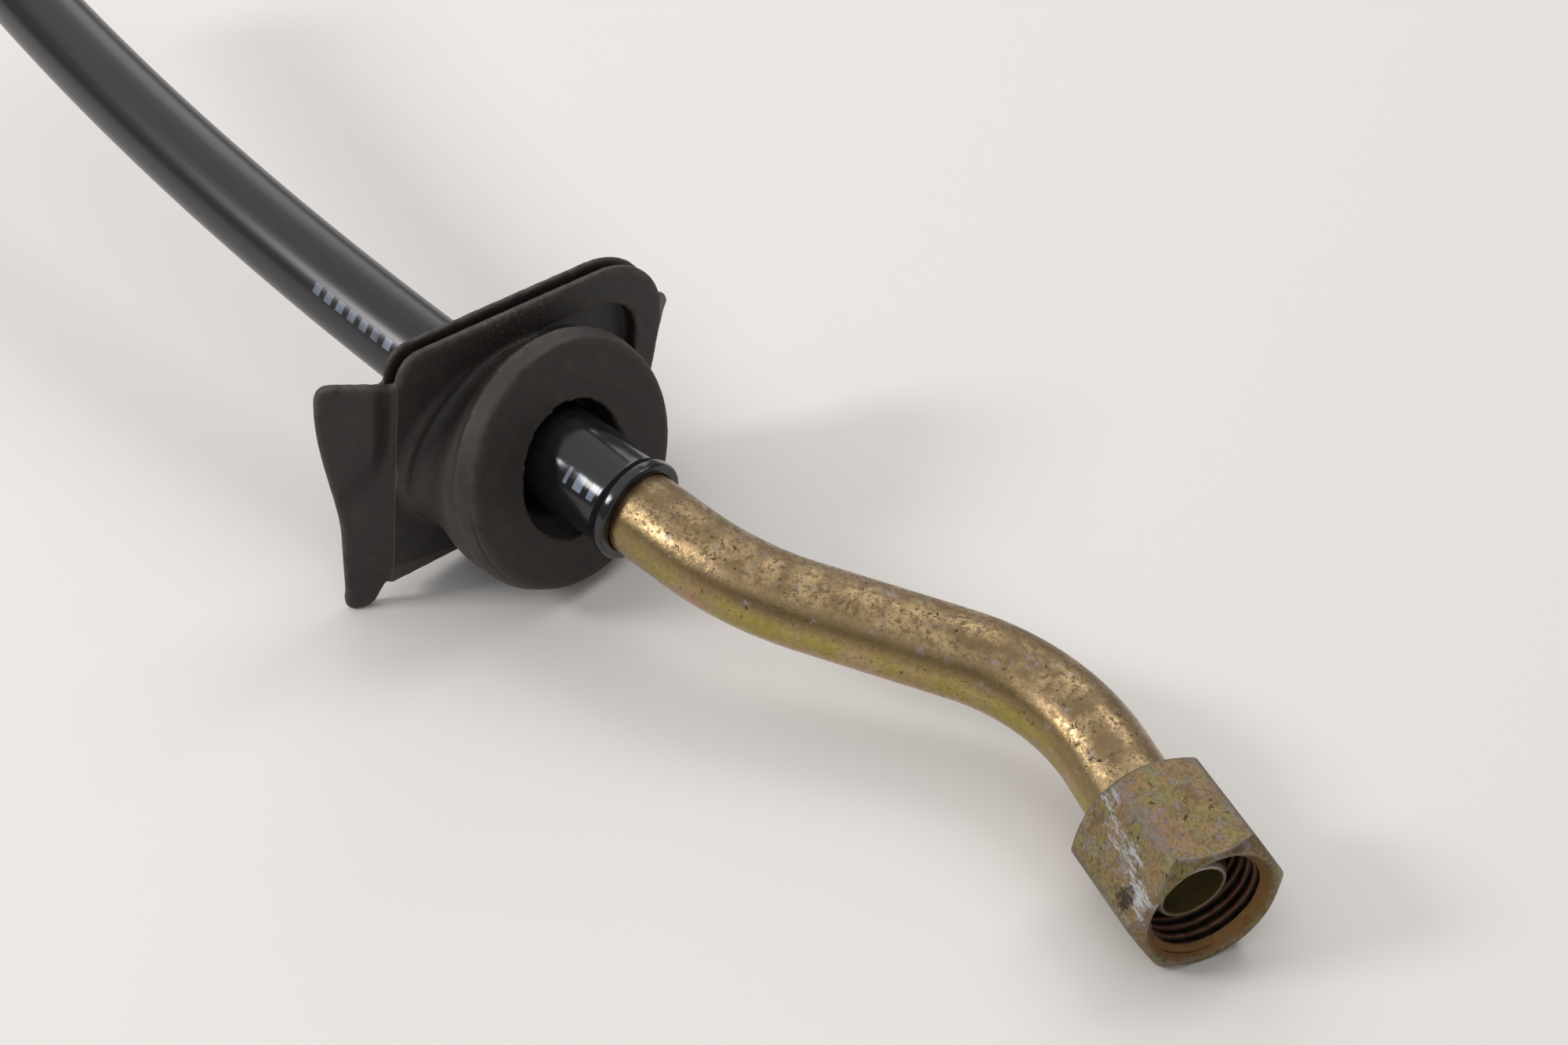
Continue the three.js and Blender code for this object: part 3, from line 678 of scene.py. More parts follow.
@dataclass(frozen=True)
class MouldedRubber:
    """Black rubber, compression moulded, and old.

    The eye sees a matt black with a brownish bloom, rims paler from rubbing and from a painted edge
    highlight, dust on the collar's top, a crack behind the collar's front edge, the hinge's seam, a
    painted highlight along the plate's foot and a soft fold across the whole ear. Places are read
    in the plate's and the collar's own axes.
    """

    blacks: tuple[str, str] = ("272423", "312d2b")
    clouds: Grain = Grain(7.0, 5)
    bloom: Stain = Stain("3e362e", 0.45, Grain(2.5, 6, 0.65), 0.48, 0.72)
    # Rims pale both from rubbing and from a painted edge highlight.
    rim: Stain = Stain("5a5148", 0.5, Grain(1.6, 5), 0.3, 0.6)
    dust: Stain = Stain("8b8070", 0.4, Grain(0.35, 2, 0.5, 12.0), 0.75, 0.8)
    grit: Grain = Grain(0.4, 3, 0.6, 5.0)
    crack: str = "0b0a0a"
    crack_wander: float = 1.3
    seam: str = "6b655f"
    seam_at: float = -23.4
    # Painted highlight along the plate's foot.
    foot: str = "4f4a45"
    bump: float = 0.03
    fold_bump: float = 1.6

    def make(self) -> Material:
        """Makes the material."""
        g = Graph("moulded_black_rubber")
        here = g.here()
        axes = (Kind.X, Kind.Y, Kind.Z)
        on_plate, on_collar = (
            [g.add(axis, g.add(Kind.STORED, attribute_name=name)) for axis in axes]
            for name in ("plate_mm", "collar_mm")
        )
        colour = g.add(Kind.MIX, self.clouds.at(g, here), *self.blacks)
        colour = self.bloom.over(g, colour, self.bloom.cover(g, here))
        # Convex edges paled: rubbed wear and a painted edge highlight.
        edges = g.add(Kind.STORED, attribute_name="edges")
        colour = self.rim.over(g, colour, g.add(Kind.TIMES, edges, self.rim.cover(g, here)))
        gritty = self.grit.patches(g, here, 0.56, 0.64)
        settled = g.add(Kind.TIMES, self._shelf(g, *on_collar), gritty)
        colour = self.dust.over(g, colour, g.add(Kind.MOST, self.dust.cover(g, here), settled))
        crack = self._crack(g, here, *on_collar)
        colour = g.add(Kind.MIX, crack, colour, self.crack)
        seam = g.about(on_plate[1], self.seam_at, 0.22, 0.08)
        colour = g.stain(colour, seam, 0.35, self.seam)
        # Painted highlight: a paler band along the plate's foot, where its upturned face would
        # catch light.
        colour = g.stain(colour, self._foot_highlight(g, *on_plate), 0.6, self.foot)

        rough = g.add(Kind.PLUS, g.add(Kind.TIMES, Grain(3.0).at(g, here), 0.15), 0.5)
        fine = g.add(Kind.MINUS, Grain(0.4, 4, 0.6).at(g, here), g.add(Kind.TIMES, crack, 4.0))
        normal = g.bumped(g.add(Kind.PLUS, fine, g.add(Kind.TIMES, seam, 3.0)), self.bump)
        normal = g.bumped(self._fold(g, on_plate[1], on_plate[2]), self.fold_bump, normal)
        return g.finish(colour, rough, specular=0.4, normal=normal)

    def _shelf(self, g: Graph, x: Socket, y: Socket, z: Socket) -> Socket:
        """The collar's top behind its front edge, where dust settles."""
        sides = ((z, 11.0, 17.0), (x, -1.0, -4.0), (x, -9.0, -7.0), (y, 9.0, 2.0), (y, -12.0, -4.0))
        return g.add(Kind.TIMES, *(g.add(Kind.BAND, *side) for side in sides))

    def _crack(self, g: Graph, here: Socket, x: Socket, y: Socket, z: Socket) -> Socket:
        """A wandering crack behind the collar's front edge, at its lower left."""
        noise = g.add(Kind.MINUS, Grain(2.2, 6, 0.7).at(g, here), 0.5)
        wander = g.add(Kind.TIMES, noise, self.crack_wander)
        away = g.add(Kind.SIZE, g.add(Kind.PLUS, x, 0.75, wander))
        ends = (g.add(Kind.BAND, y, -3.0, -8.0), g.add(Kind.BAND, z, 4.0, -6.0))
        return g.add(Kind.TIMES, g.add(Kind.BAND, away, 0.24, 0.1), *ends)

    def _foot_highlight(self, g: Graph, x: Socket, y: Socket, z: Socket) -> Socket:
        """The painted highlight along the plate's foot, where its upturned face would catch light:
        left of its middle and on its front face only.
        """
        below = g.add(Kind.MINUS, g.add(Kind.TIMES, y, -0.138), z)
        sides = ((below, 19.28, 19.5), (y, -6.0, -13.0), (y, -24.0, -23.8), (x, -0.6, -0.2))
        return g.add(Kind.TIMES, *(g.add(Kind.BAND, *side) for side in sides))

    def _fold(self, g: Graph, y: Socket, z: Socket) -> Socket:
        """The height of the soft fold that crosses the whole ear aslant."""
        slant = g.add(Kind.MINUS, z, g.add(Kind.TIMES, g.add(Kind.PLUS, y, 24.0), 1.4))
        past_hinge = g.add(Kind.BAND, y, -24.0, -26.5)
        return g.add(Kind.TIMES, g.add(Kind.BAND, slant, 1.0, 9.0), past_hinge)


@dataclass(frozen=True)
class PalePaper:
    """The studio's surface: pale, plain and matt."""

    colour: str = "e4e2e0"
    rough: float = 0.75
    specular: float = 0.2

    def make(self) -> Material:
        """Makes the material."""
        return Graph("matt_pale_paper").finish(self.colour, self.rough, specular=self.specular)


@dataclass(frozen=True)
class Layout:
    """Sizes of the route and the stations along it."""

    fall: float = math.radians(6)
    nut_pivot: float = 10.7
    nut_straight: float = 21.8
    nut_bend: float = 30.0
    mid_straight: float = 20.9
    mid_heading: float = math.radians(23.9)
    line_bend: float = 45.0
    tube_straight: float = 9.1
    line_straight: float = 29.0
    sweep_radius: float = 700.0
    sweep: float = math.radians(12)
    tail: float = 20.0

    def build(self, pivot: np.ndarray, heading: float) -> tuple[Route, float]:
        """Lays the route from the tube's nose to the line's far end.

        Args:
            pivot: The nut's pivot, in millimetres.
            heading: The nut's heading, in radians.

        Returns:
            The route, and the station of the line's lip.
        """
        first = backwards(heading, self.fall)
        route = Route(pivot - first * self.nut_pivot, first).straight(self.nut_straight)
        route.bend_to(backwards(self.mid_heading, self.fall), self.nut_bend)
        route.straight(self.mid_straight)
        route.bend_to(backwards(0.0, self.fall), self.line_bend).straight(self.tube_straight)
        lip = route.length
        route.straight(self.line_straight)
        route.bend_to(backwards(-self.sweep, self.fall), self.sweep_radius).straight(self.tail)
        return route, lip


@dataclass
class SteelTube:
    """The bent steel tube: coned nose, bead, bends, shoulder and barbed stem."""

    route: Route
    lip: float
    outer: float = 6.0
    wall: float = 1.5
    nose_length: float = 3.0
    rim: float = 4.475
    rim_wall: float = 0.5
    bead_setback: float = 4.2
    bead_length: float = 2.5
    bead_height: float = 0.6
    stem: float = 4.6
    stem_wall: float = 1.2
    stem_length: float = 24.0
    shoulder: float = 2.4
    step_back: float = 0.3  # from the line's lip to where the shoulder starts
    ring_step: float = 0.8
    sides: int = 128

    def build(self, material: Material) -> Object:
        """Makes the tube.

        Args:
            material: Its finish.

        Returns:
            The tube's object.
        """
        bead, ramp = self.bead_setback, self.bead_length / 4
        bore = self.outer - self.wall
        stem_start = self.lip + self.shoulder
        stem_end = stem_start + self.stem_length
        inner_rim = self.rim - self.rim_wall
        # Corners as station, radius and rounding.
        profile = rounded(
            [
                (0.0, self.rim, 0.2),
                (self.nose_length, self.outer, 0.5),
                (bead, self.outer, 0.2),
                (bead + ramp, self.outer + self.bead_height, 0.3),
                (bead + self.bead_length - ramp, self.outer + self.bead_height, 0.3),
                (bead + self.bead_length, self.outer, 0.2),
                (self.lip + self.step_back, self.outer, 0.4),
                (stem_start, self.stem, 0.3),
                (stem_end, self.stem, 0.2),
                (stem_end, self.stem - self.stem_wall, 0.0),
                (stem_start, self.stem - self.stem_wall, 0.0),
                (self.lip, bore, 0.0),
                (self.nose_length, bore, 0.3),
                (0.0, inner_rim, 0.2),
            ]
        )
        rings = densified(profile, self.ring_step)
        tube = swept("steel_tube_fine", self.route, rings, self.sides, material)
        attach(tube, Body.LINE.value)
        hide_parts("steel_tube")
        return tube


@dataclass
class VacuumLine:
    """The plastic line, belled out over the tube's stem."""

    route: Route
    lip: float
    outer: float = 6.25
    bore: float = 4.365
    lip_outer: float = 7.5
    lip_length: float = 2.0
    bell: float = 7.0
    stretched: float = 7.135
    stretched_wall: float = 1.885
    relaxed: float = 31.2
    taper: float = 4.8
    inner_taper: float = 4.5
    lip_step: float = 0.65
    neck_dip: float = 0.25
    mouth: float = 6.1
    mouth_length: float = 0.75
    seat: float = 3.1
    ring_step: float = 1.5
    sides: int = 128

    def build(self, material: Material) -> Object:
        """Makes the line.

        Args:
            material: Its finish.

        Returns:
            The line's object.
        """
        lip, end, relaxed = self.lip, self.route.length, self.lip + self.relaxed
        over_stem = self.stretched - self.stretched_wall
        # Corners as station, radius and rounding.
        profile = rounded(
            [
                (lip, self.mouth, 0.15),
                (lip, self.lip_outer, 0.5),
                (lip + self.lip_length * 0.8, self.lip_outer, 0.5),
                (lip + self.lip_length * 1.3, self.lip_outer - self.lip_step, 0.6),
                (lip + self.bell, self.stretched - self.neck_dip, 2.0),
                (lip + self.bell * 1.5, self.stretched, 2.0),
                (relaxed - self.taper, self.stretched, 2.0),
                (relaxed, self.outer, 2.0),
                (end, self.outer, 0.5),
                (end, self.bore, 0.2),
                (relaxed, self.bore, 0.0),
                (relaxed - self.inner_taper, over_stem, 0.0),
                (lip + self.seat, over_stem, 0.0),
                (lip + self.mouth_length, self.mouth, 0.0),
            ],
            steps=6,
        )
        rings = densified(profile, self.ring_step)
        line = swept("vacuum_line_fine", self.route, rings, self.sides, material)
        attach(line, Body.LINE.value)
        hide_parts("vacuum_line")
        return line


@dataclass
class UnionNut:
    """The union nut: hexagon with chamfered corners, and a right-hand thread inside."""

    pivot: np.ndarray
    heading: float
    flats: float = 19.0
    length: float = 16.5
    collar_length: float = 3.7
    collar: float = 6.4
    face: float = 9.2
    chamfer: float = math.radians(40)
    mouth: float = 8.7
    mouth_depth: float = 1.5
    minor: float = 7.2
    major: float = 8.0
    pitch: float = 1.5
    thread_end: float = 4.2
    edge_round: float = 0.12
    mouth_edge: float = 0.08
    rear_relief: float = 0.4
    rear_rim: float = 0.6
    wear_reach: float = 0.25
    groove_half: float = 0.56
    groove_flank: float = 0.47
    end_band: float = 2.0  # closely spaced rows at either end
    end_rows: int = 22
    middle_rows: int = 8
    thread_gap: float = 0.06
    thread_row: float = 0.085
    columns: int = 360

    def _outer(self, x: np.ndarray, angle: np.ndarray) -> tuple[np.ndarray, np.ndarray]:
        """The outside's radius, and how worn it is, at places along and round it.

        The radius is a soft minimum of the hexagon, a cone from either end and a turned corner.

        Args:
            x: Places along the axis.
            angle: Angles about it, from its side.

        Returns:
            The radius, and 0 to 1 for how close a corner or an edge is.
        """
        rear = -self.collar_length / 2
        turned = (np.degrees(angle) - 90 + 30) % 60 - 30
        hexagon = self.flats / 2 / np.cos(np.radians(turned))
        near_end = np.minimum(x - rear, rear + self.length - x)
        cone = self.face + near_end / math.tan(self.chamfer)
        k = self.edge_round
        corner = self.flats / math.sqrt(3) - k
        both = np.stack([hexagon, cone, np.full_like(hexagon, corner)])
        radius = -k * np.log(np.exp(-(both - both.min(0)) / k).sum(0)) + both.min(0)
        close = np.sort(both, axis=0)
        worn = np.exp(-(close[1] - close[0]) / self.wear_reach)
        return radius, worn

    def _thread(self, x: np.ndarray, angle: np.ndarray) -> np.ndarray:
        """The threaded bore's radius: a groove that moves a pitch along in each turn."""
        turn = (x / self.pitch - angle / (2 * math.pi)) % 1
        away = np.abs(turn - 0.5) * self.pitch
        groove = np.clip((self.groove_half - away) / self.groove_flank, 0, 1)
        fade = np.clip((x - self.thread_end) / self.pitch, 0, 1)
        return self.minor + (self.major - self.minor) * groove * fade

    def build(self, material: Material) -> Object:
        """Makes the nut.

        Args:
            material: Its finish.

        Returns:
            The nut's object.
        """
        rear = -self.collar_length / 2
        front = rear + self.length
        deep = self.end_band
        fine = np.linspace(0, deep, self.end_rows)
        middle = np.linspace(rear + deep, front - deep, self.middle_rows)[1:-1]
        outside = np.concatenate([rear + fine, middle, front - fine[::-1]])
        bore = np.arange(front - self.thread_gap, self.thread_end, -self.thread_row)
        angle = np.arange(self.columns) * 2 * math.pi / self.columns
        grid_x, grid_a = np.meshgrid(outside, angle, indexing="ij")
        outer, worn = self._outer(grid_x, grid_a)
        lead_x, lead_a = np.meshgrid(bore, angle, indexing="ij")
        lead = self.mouth - (front - lead_x) * (self.mouth - self.minor) / self.mouth_depth
        inner = np.maximum(self._thread(lead_x, lead_a), lead)
        plain = [
            (self.collar_length / 2 + self.minor - self.collar, self.minor),
            (self.collar_length / 2, self.collar),
            (rear + self.rear_relief, self.collar),
            (rear, self.collar + self.rear_relief),
            (rear, self.face - self.rear_rim),
        ]
        rows_x = np.concatenate([outside, [front, front], bore, [x for x, _ in plain]])
        ones = np.ones(self.columns)
        face = [(self.face - self.edge_round) * ones, (self.mouth + self.mouth_edge) * ones]
        radius = np.vstack([outer, *face, inner, *(r * ones for _, r in plain)])
        unworn = np.zeros((len(bore) + len(plain), self.columns))
        wear = np.vstack([worn, np.ones((len(face), self.columns)), unworn])
        along_rows = np.broadcast_to(rows_x[:, None], radius.shape)
        local = np.stack([along_rows, radius * np.cos(angle), radius * np.sin(angle)], -1)
        local = local.reshape(-1, 3)
        along = np.array([math.cos(self.heading), math.sin(self.heading), 0.0])
        side = np.array([-along[1], along[0], 0.0])
        world = self.pivot + local @ np.stack([along, side, [0.0, 0.0, 1.0]])
        faces = grid_faces(len(rows_x), self.columns)
        nut = piece("union_nut_fine", world, faces, material, sharp_deg=50)
        store(nut, "nut_mm", local)
        store(nut, "worn", wear.reshape(-1))
        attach(nut, Body.NUT.value)
        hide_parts("union_nut")
        return nut


@dataclass
class Grommet:
    """The rubber grommet, in its plate's own axes: X out of the plate, Y across and Z up it."""

    route: Route
    lip: float
    width: float = 48.0
    height: float = 37.9
    step: float = 0.8
    step_height: float = 14.2
    left_corners: tuple[float, float] = (3.8, 0.8)
    right_corners: tuple[float, float] = (13.0, 9.0)
    bulge: float = 1.0
    torn_in: float = 1.7
    front_plate: float = 1.3
    plate_edge: float = 0.3
    core_edge: float = 0.05
    rear_edge: float = 0.25
    groove: float = 1.4
    groove_depth: float = 3.5
    rear_plate: float = 1.0
    station: float = 25.3
    side_shift: float = 3.0
    turn_deg: tuple[float, float, float] = (-5.25, 3.75, -2.5)
    web: tuple[float, float] = (21.6, 14.1)
    web_sink: float = 0.45
    web_shift: float = -1.6
    web_tilt: float = math.radians(4.6)
    web_bed: float = 2.0
    web_lap: float = 0.02
    web_bed_tilt: float = math.radians(3.6)
    web_edge: tuple[float, float] = (1.1, 0.1)
    web_power: tuple[float, float] = (2.0, 4.0)
    collar: float = 18.1
    collar_rear: float = 18.8
    collar_length: float = 3.2
    collar_round: float = 0.8
    collar_station: float = 12.8
    collar_tilt: float = math.radians(12)
    neck_step: float = 0.5
    neck_waist: float = 16.6
    neck_flatness: float = 0.75
    neck_root: float = 0.5
    neck_swell: tuple[float, float] = (0.2, 0.6)  # where it starts and how long it takes
    neck_fullness: float = 2.0
    fullest: float = math.radians(225)
    foot_spread: float = 1.8
    mouth: float = 8.8
    mouth_depth: float = 8.0
    mouth_round: float = 0.6
    seal: float = 7.2
    seal_length: float = 4.0
    rear_opening: float = 8.5
    ear_thickness: float = 1.7
    ear_back: float = math.radians(30)
    ear_setback: float = 0.15
    ear_top: float = 14.8
    ear_width: float = 10.3
    ear_waist: float = 6.5
    ear_tip: float = -23.1
    stub: float = 6.6
    stub_root: float = 1.0
    overlap: float = 0.05
    curve_points: int = 13
    neck_rings: int = 21
    voxel: float = 0.36
    smoothing: int = 3
    edge_gain: float = 6.0
    sides: int = 144

    def _angles(self) -> np.ndarray:
        """The angles of a ring's points."""
        return np.arange(self.sides) * 2 * math.pi / self.sides

    def _loft(self, name: str, rings: Sequence[np.ndarray]) -> Object:
        """A closed skin over rings of equally many points, with flat ends."""
        rows, columns = len(rings), len(rings[0])
        i, j = np.meshgrid(np.arange(rows - 1), np.arange(columns), indexing="ij")
        near, far, j2 = i * columns, (i + 1) * columns, (j + 1) % columns
        quads = np.stack([near + j, near + j2, far + j2, far + j], -1)
        faces = quads.reshape(-1, 4).tolist()
        faces.append(list(range(columns))[::-1])
        faces.append(list(range((rows - 1) * columns, rows * columns)))
        points = np.vstack(rings)
        centre, last = points.mean(0), rings[-1].mean(0)
        spin = np.cross(rings[-1] - last, np.roll(rings[-1], -1, 0) - last).sum(0)
        if spin @ (last - centre) < 0:
            faces = [face[::-1] for face in faces]
        return piece(name, points, faces)

    def _slab(self, name: str, outline: np.ndarray, near: float, far: float, edge: float) -> Object:
        """A slab of an outline, from one depth behind the plate's face to a deeper one.

        Args:
            name: The object's name.
            outline: N by 2 points, across and up, counter-clockwise.
            near: Depth of its front.
            far: Depth of its back.
            edge: Rounding of its edges.

        Returns:
            The slab.
        """
        tangent = np.roll(outline, -1, 0) - np.roll(outline, 1, 0)
        outward = unit(np.stack([tangent[:, 1], -tangent[:, 0]], -1))
        rings = []
        for depth, inset in ((far, edge), (far - edge, 0.0), (near + edge, 0.0), (near, edge)):
            flat = outline - outward * inset
            rings.append(np.column_stack([np.full(len(flat), -depth), flat]))
        return self._loft(name, rings)

    def _outline(self, inset: float) -> np.ndarray:
        """The plate's outline, drawn in by an inset: square on the left, round on the right."""
        w, h = self.width / 2 - inset, self.height / 2 - inset
        far, stepped = w + self.bulge, w - self.step
        torn = far - self.torn_in
        corners = (*self.left_corners, *self.right_corners)
        least = 0.4
        left_top, left_foot, right_top, right_foot = (max(r - inset, least) for r in corners)
        step = min(self.step_height, h - left_top - self.step)

        def arc(y: float, z: float, r: float, start: float) -> np.ndarray:
            """A quarter circle about a centre."""
            a = np.radians(start + np.linspace(0, 90, 17))
            return np.stack([y + r * np.cos(a), z + r * np.sin(a)], -1)

        return np.vstack(
            [
                arc(far - right_top, h - right_top, right_top, 0),
                arc(left_top - stepped, h - left_top, left_top, 90),
                [(-stepped, step), (-w, step - self.step / 2)],
                arc(left_foot - w, left_foot - h, left_foot, 180),
                arc(torn - right_foot, right_foot - h, right_foot, 270),
            ]
        )

    def _ring(
        self,
        centre: np.ndarray,
        normal: np.ndarray,
        radius: np.ndarray | float,
        rise: np.ndarray | float = 0.0,
    ) -> np.ndarray:
        """A ring about a centre in the plane of a normal, with a radius and rise for each angle."""
        angle = self._angles()
        turn = np.array(Vector((1, 0, 0)).rotation_difference(Vector(unit(normal))).to_matrix())
        radius, rise = radius * np.ones(self.sides), rise * np.ones(self.sides)
        flat = np.stack([rise, radius * np.cos(angle), radius * np.sin(angle)], -1)
        return centre + flat @ turn.T

    def _on_the_web(self, left_and_right: tuple[float, float]) -> np.ndarray:
        """A value at each angle that passes from the web's left to its right."""
        left, right = left_and_right
        return left + (right - left) * (1 + np.cos(self._angles())) / 2

    def _oval(self) -> np.ndarray:
        """The web's radius at each angle: an ellipse on its left, nearly a box on its right."""
        c = np.abs(np.cos(self._angles())) / self.web[0]
        s = np.abs(np.sin(self._angles())) / self.web[1]
        power = self._on_the_web(self.web_power)
        return (c**power + s**power) ** (-1 / power)

    @staticmethod
    def _curve(start: tuple[float, float], *moves: Sequence[tuple[float, float]]) -> np.ndarray:
        """An outline of Bezier moves, each a sum of its controls in binomial shares.

        Args:
            start: Its first point.
            *moves: Each the control points and the end of one curve, or the end of a straight.

        Returns:
            N by 2 points.
        """
        points, here = [np.array([start], float)], start
        for move in moves:
            controls = np.array([here, *move], float)
            n = len(controls) - 1
            t = np.linspace(0, 1, 2 if n == 1 else Grommet.curve_points)[1:, None]
            shares = [math.comb(n, k) * (1 - t) ** (n - k) * t**k for k in range(n + 1)]
            points.append(sum(share * control for share, control in zip(shares, controls)))
            here = move[-1]
        return np.vstack(points)

    def _ear(self, name: str, outline: np.ndarray, side: int, setback: float) -> Object:
        """An ear swept back from the plate's edge.

        Args:
            name: The object's name.
            outline: Points as outward distance and height.
            side: -1 for the left ear and 1 for the right one.
            setback: How far its hinge lies behind the plate's face.

        Returns:
            The ear.
        """
        flat = outline * [side, 1]
        after = np.roll(flat, -1, 0)
        area = np.sum(flat[:, 0] * after[:, 1] - after[:, 0] * flat[:, 1])
        flat = flat if area > 0 else flat[::-1]
        ear = self._slab(name, flat, 0.0, self.ear_thickness, self.plate_edge)
        turn = Matrix.Rotation(side * self.ear_back, 4, "Z")
        hinge = Vector((-setback, side * self.width / 2, 0)) * MM
        ear.data.transform(Matrix.Translation(hinge) @ turn)
        return ear

    def _left_outline(self) -> np.ndarray:
        """The whole ear: broad above, waisted, with a tongue below."""
        w, waist, top, tip = self.ear_width, self.ear_waist, self.ear_top, self.ear_tip
        r = w / 5
        return self._curve(
            (-0.6, top),
            [(w - r, top + r / 3)],
            [(w, top + r / 3), (w, top - r)],
            [(w, top / 4), (waist, tip * 0.2), (waist, tip * 0.5)],
            [(waist * 0.92, tip * 0.88)],
            [(waist, tip), (waist * 0.7, tip)],
            [(waist * 0.3, tip), (waist * 0.2, tip * 0.89)],
            [(0.0, tip * 0.77)],
            [(-0.6, tip * 0.75)],
        )

    def _right_outline(self) -> np.ndarray:
        """What is left of the torn ear, with its ragged edge."""
        root = -self.stub_root / self.stub
        shares = [(root, 1.3), (0.2, 1.33), (0.36, 1.35), (0.5, 1.26), (0.64, 1.19), (0.8, 1.05)]
        shares += [(0.88, 0.96), (0.97, 0.82), (1, 0.76), (0.8, 0.68), (0.68, 0.6), (0.66, 0.46)]
        shares += [(0.57, 0.38), (0.4, 0.3), (0.22, 0.12), (0.08, 0.05), (root, -0.05)]
        return np.array(shares) * self.stub

    @staticmethod
    def _combine(base: Object, other: Object, operation: str) -> None:
        """Joins another shell to the base or cuts it out, and removes it."""
        modifier = base.modifiers.new(other.name, "BOOLEAN")
        modifier.object, modifier.operation, modifier.solver = other, operation, "EXACT"
        with bpy.context.temp_override(object=base, active_object=base):
            bpy.ops.object.modifier_apply(modifier=modifier.name)
        bpy.data.objects.remove(other)

    def _edges_of(self, made: Object, points: np.ndarray) -> np.ndarray:
        """How sharply the surface turns outwards at each point, 0 to 1."""
        count = len(points)
        ends = np.empty(len(made.data.edges) * 2, np.int32)
        made.data.edges.foreach_get("vertices", ends)
        one, two = ends.reshape(-1, 2).T
        normals = np.empty(count * 3, np.float32)
        made.data.vertex_normals.foreach_get("vector", normals)
        normals = normals.reshape(-1, 3)
        along = unit(points[two] - points[one])
        degree = np.bincount(one, minlength=count) + np.bincount(two, minlength=count)

        def spread(at_one: np.ndarray, at_two: np.ndarray) -> np.ndarray:
            """The mean over the edges that meet at each point."""
            total = np.bincount(one, at_one, count) + np.bincount(two, at_two, count)
            return total / np.maximum(degree, 1)

        dips = spread(-(normals[one] * along).sum(1), (normals[two] * along).sum(1))
        for _ in range(2):
            dips = spread(dips[two], dips[one])
        return np.clip(dips * self.edge_gain, 0, 1)

    def build(self, material: Material) -> Object:
        """Makes the grommet.

        Args:
            material: Its finish.

        Returns:
            The grommet's object.
        """
        roll, lean, yaw = (math.radians(a) for a in self.turn_deg)
        about_z, about_y = Matrix.Rotation(yaw, 3, "Z"), Matrix.Rotation(lean, 3, "Y")
        turn = np.array(about_z @ about_y @ Matrix.Rotation(roll, 3, "X"))
        front, back = self.front_plate, self.front_plate + self.groove
        outline, core = self._outline(0.0), self._outline(self.groove_depth)
        body = self._slab("bulkhead_grommet_fine", outline, 0.0, front, self.plate_edge)
        others = [
            self._slab("core", core, front / 2, back + self.rear_plate / 2, self.core_edge),
            self._slab("rear_plate", outline, back, back + self.rear_plate, self.rear_edge),
            self._ear("left_ear", self._left_outline(), -1, self.ear_setback),
            self._ear("right_ear", self._right_outline(), 1, self.stub_root / 2),
        ]
        lowest = min(float((points_of(made) @ turn.T)[:, 2].min()) for made in (body, *others))
        on_line, _ = self.route.at(np.array([self.lip + self.station]))
        place = np.array([on_line[0, 0], on_line[0, 1] + self.side_shift, -lowest])
        for other in others:
            self._combine(body, other, "UNION")

        centre, facing = self.route.at(np.array([self.lip + self.collar_station]))
        collar_face = (centre[0] - place) @ turn
        tilt = self.collar_tilt
        collar_normal = np.array([math.cos(tilt), 0.0, math.sin(tilt)]) @ turn
        out = np.array([1.0, 0.0, 0.0])
        web = np.array([-self.web_sink, self.web_shift, 0.0])
        web_normal, bed_normal = (
            np.array([math.cos(t), math.sin(t), 0.0]) for t in (self.web_tilt, self.web_bed_tilt)
        )
        self._combine(body, self._pocket(web, web_normal, out), "DIFFERENCE")
        self._combine(body, self._web(web, web_normal, bed_normal), "UNION")
        self._combine(body, self._neck(web, web_normal, collar_face, collar_normal), "UNION")
        self._combine(body, self._collar(collar_face, collar_normal), "UNION")
        self._combine(body, self._bore(collar_face, -facing[0] @ turn), "DIFFERENCE")

        upright = Matrix(turn.tolist()).to_4x4()
        body.data.transform(Matrix.Translation(Vector(place) * MM) @ upright)
        self._smooth(body)
        points = points_of(body)
        in_plate = (points - place) @ turn
        store(body, "plate_mm", in_plate)
        axes = np.array(Vector((1, 0, 0)).rotation_difference(Vector(collar_normal)).to_matrix())
        store(body, "collar_mm", (in_plate - collar_face) @ axes)
        store(body, "edges", self._edges_of(body, points))
        body.data.materials.clear()
        body.data.materials.append(material)
        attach(body, Body.LINE.value)
        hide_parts("bulkhead_grommet")
        return body

    def _pocket(self, web: np.ndarray, normal: np.ndarray, out: np.ndarray) -> Object:
        """What is cut away in front of the web."""
        front = np.array([self.web[0], web[1], 0.0])
        sunk = self._ring(web - normal * self.overlap, normal, self._oval())
        return self._loft("pocket", [sunk, self._ring(front, out, self._oval())])

    def _web(self, web: np.ndarray, normal: np.ndarray, bed: np.ndarray) -> Object:
        """The tilted oval web, with its edge rounded where it stands proud."""
        oval, edge = self._oval() + self.web_lap, self._on_the_web(self.web_edge)
        rings = [self._ring(np.array([-self.web_bed, web[1], 0.0]), bed, oval)]
        for angle in np.radians([90, 67.5, 45, 22.5, 0]):
            inset, rise = edge * (1 - math.sin(angle)), edge * (math.cos(angle) - 1)
            rings.append(self._ring(web, normal, oval - inset, rise))
        return self._loft("web", rings)

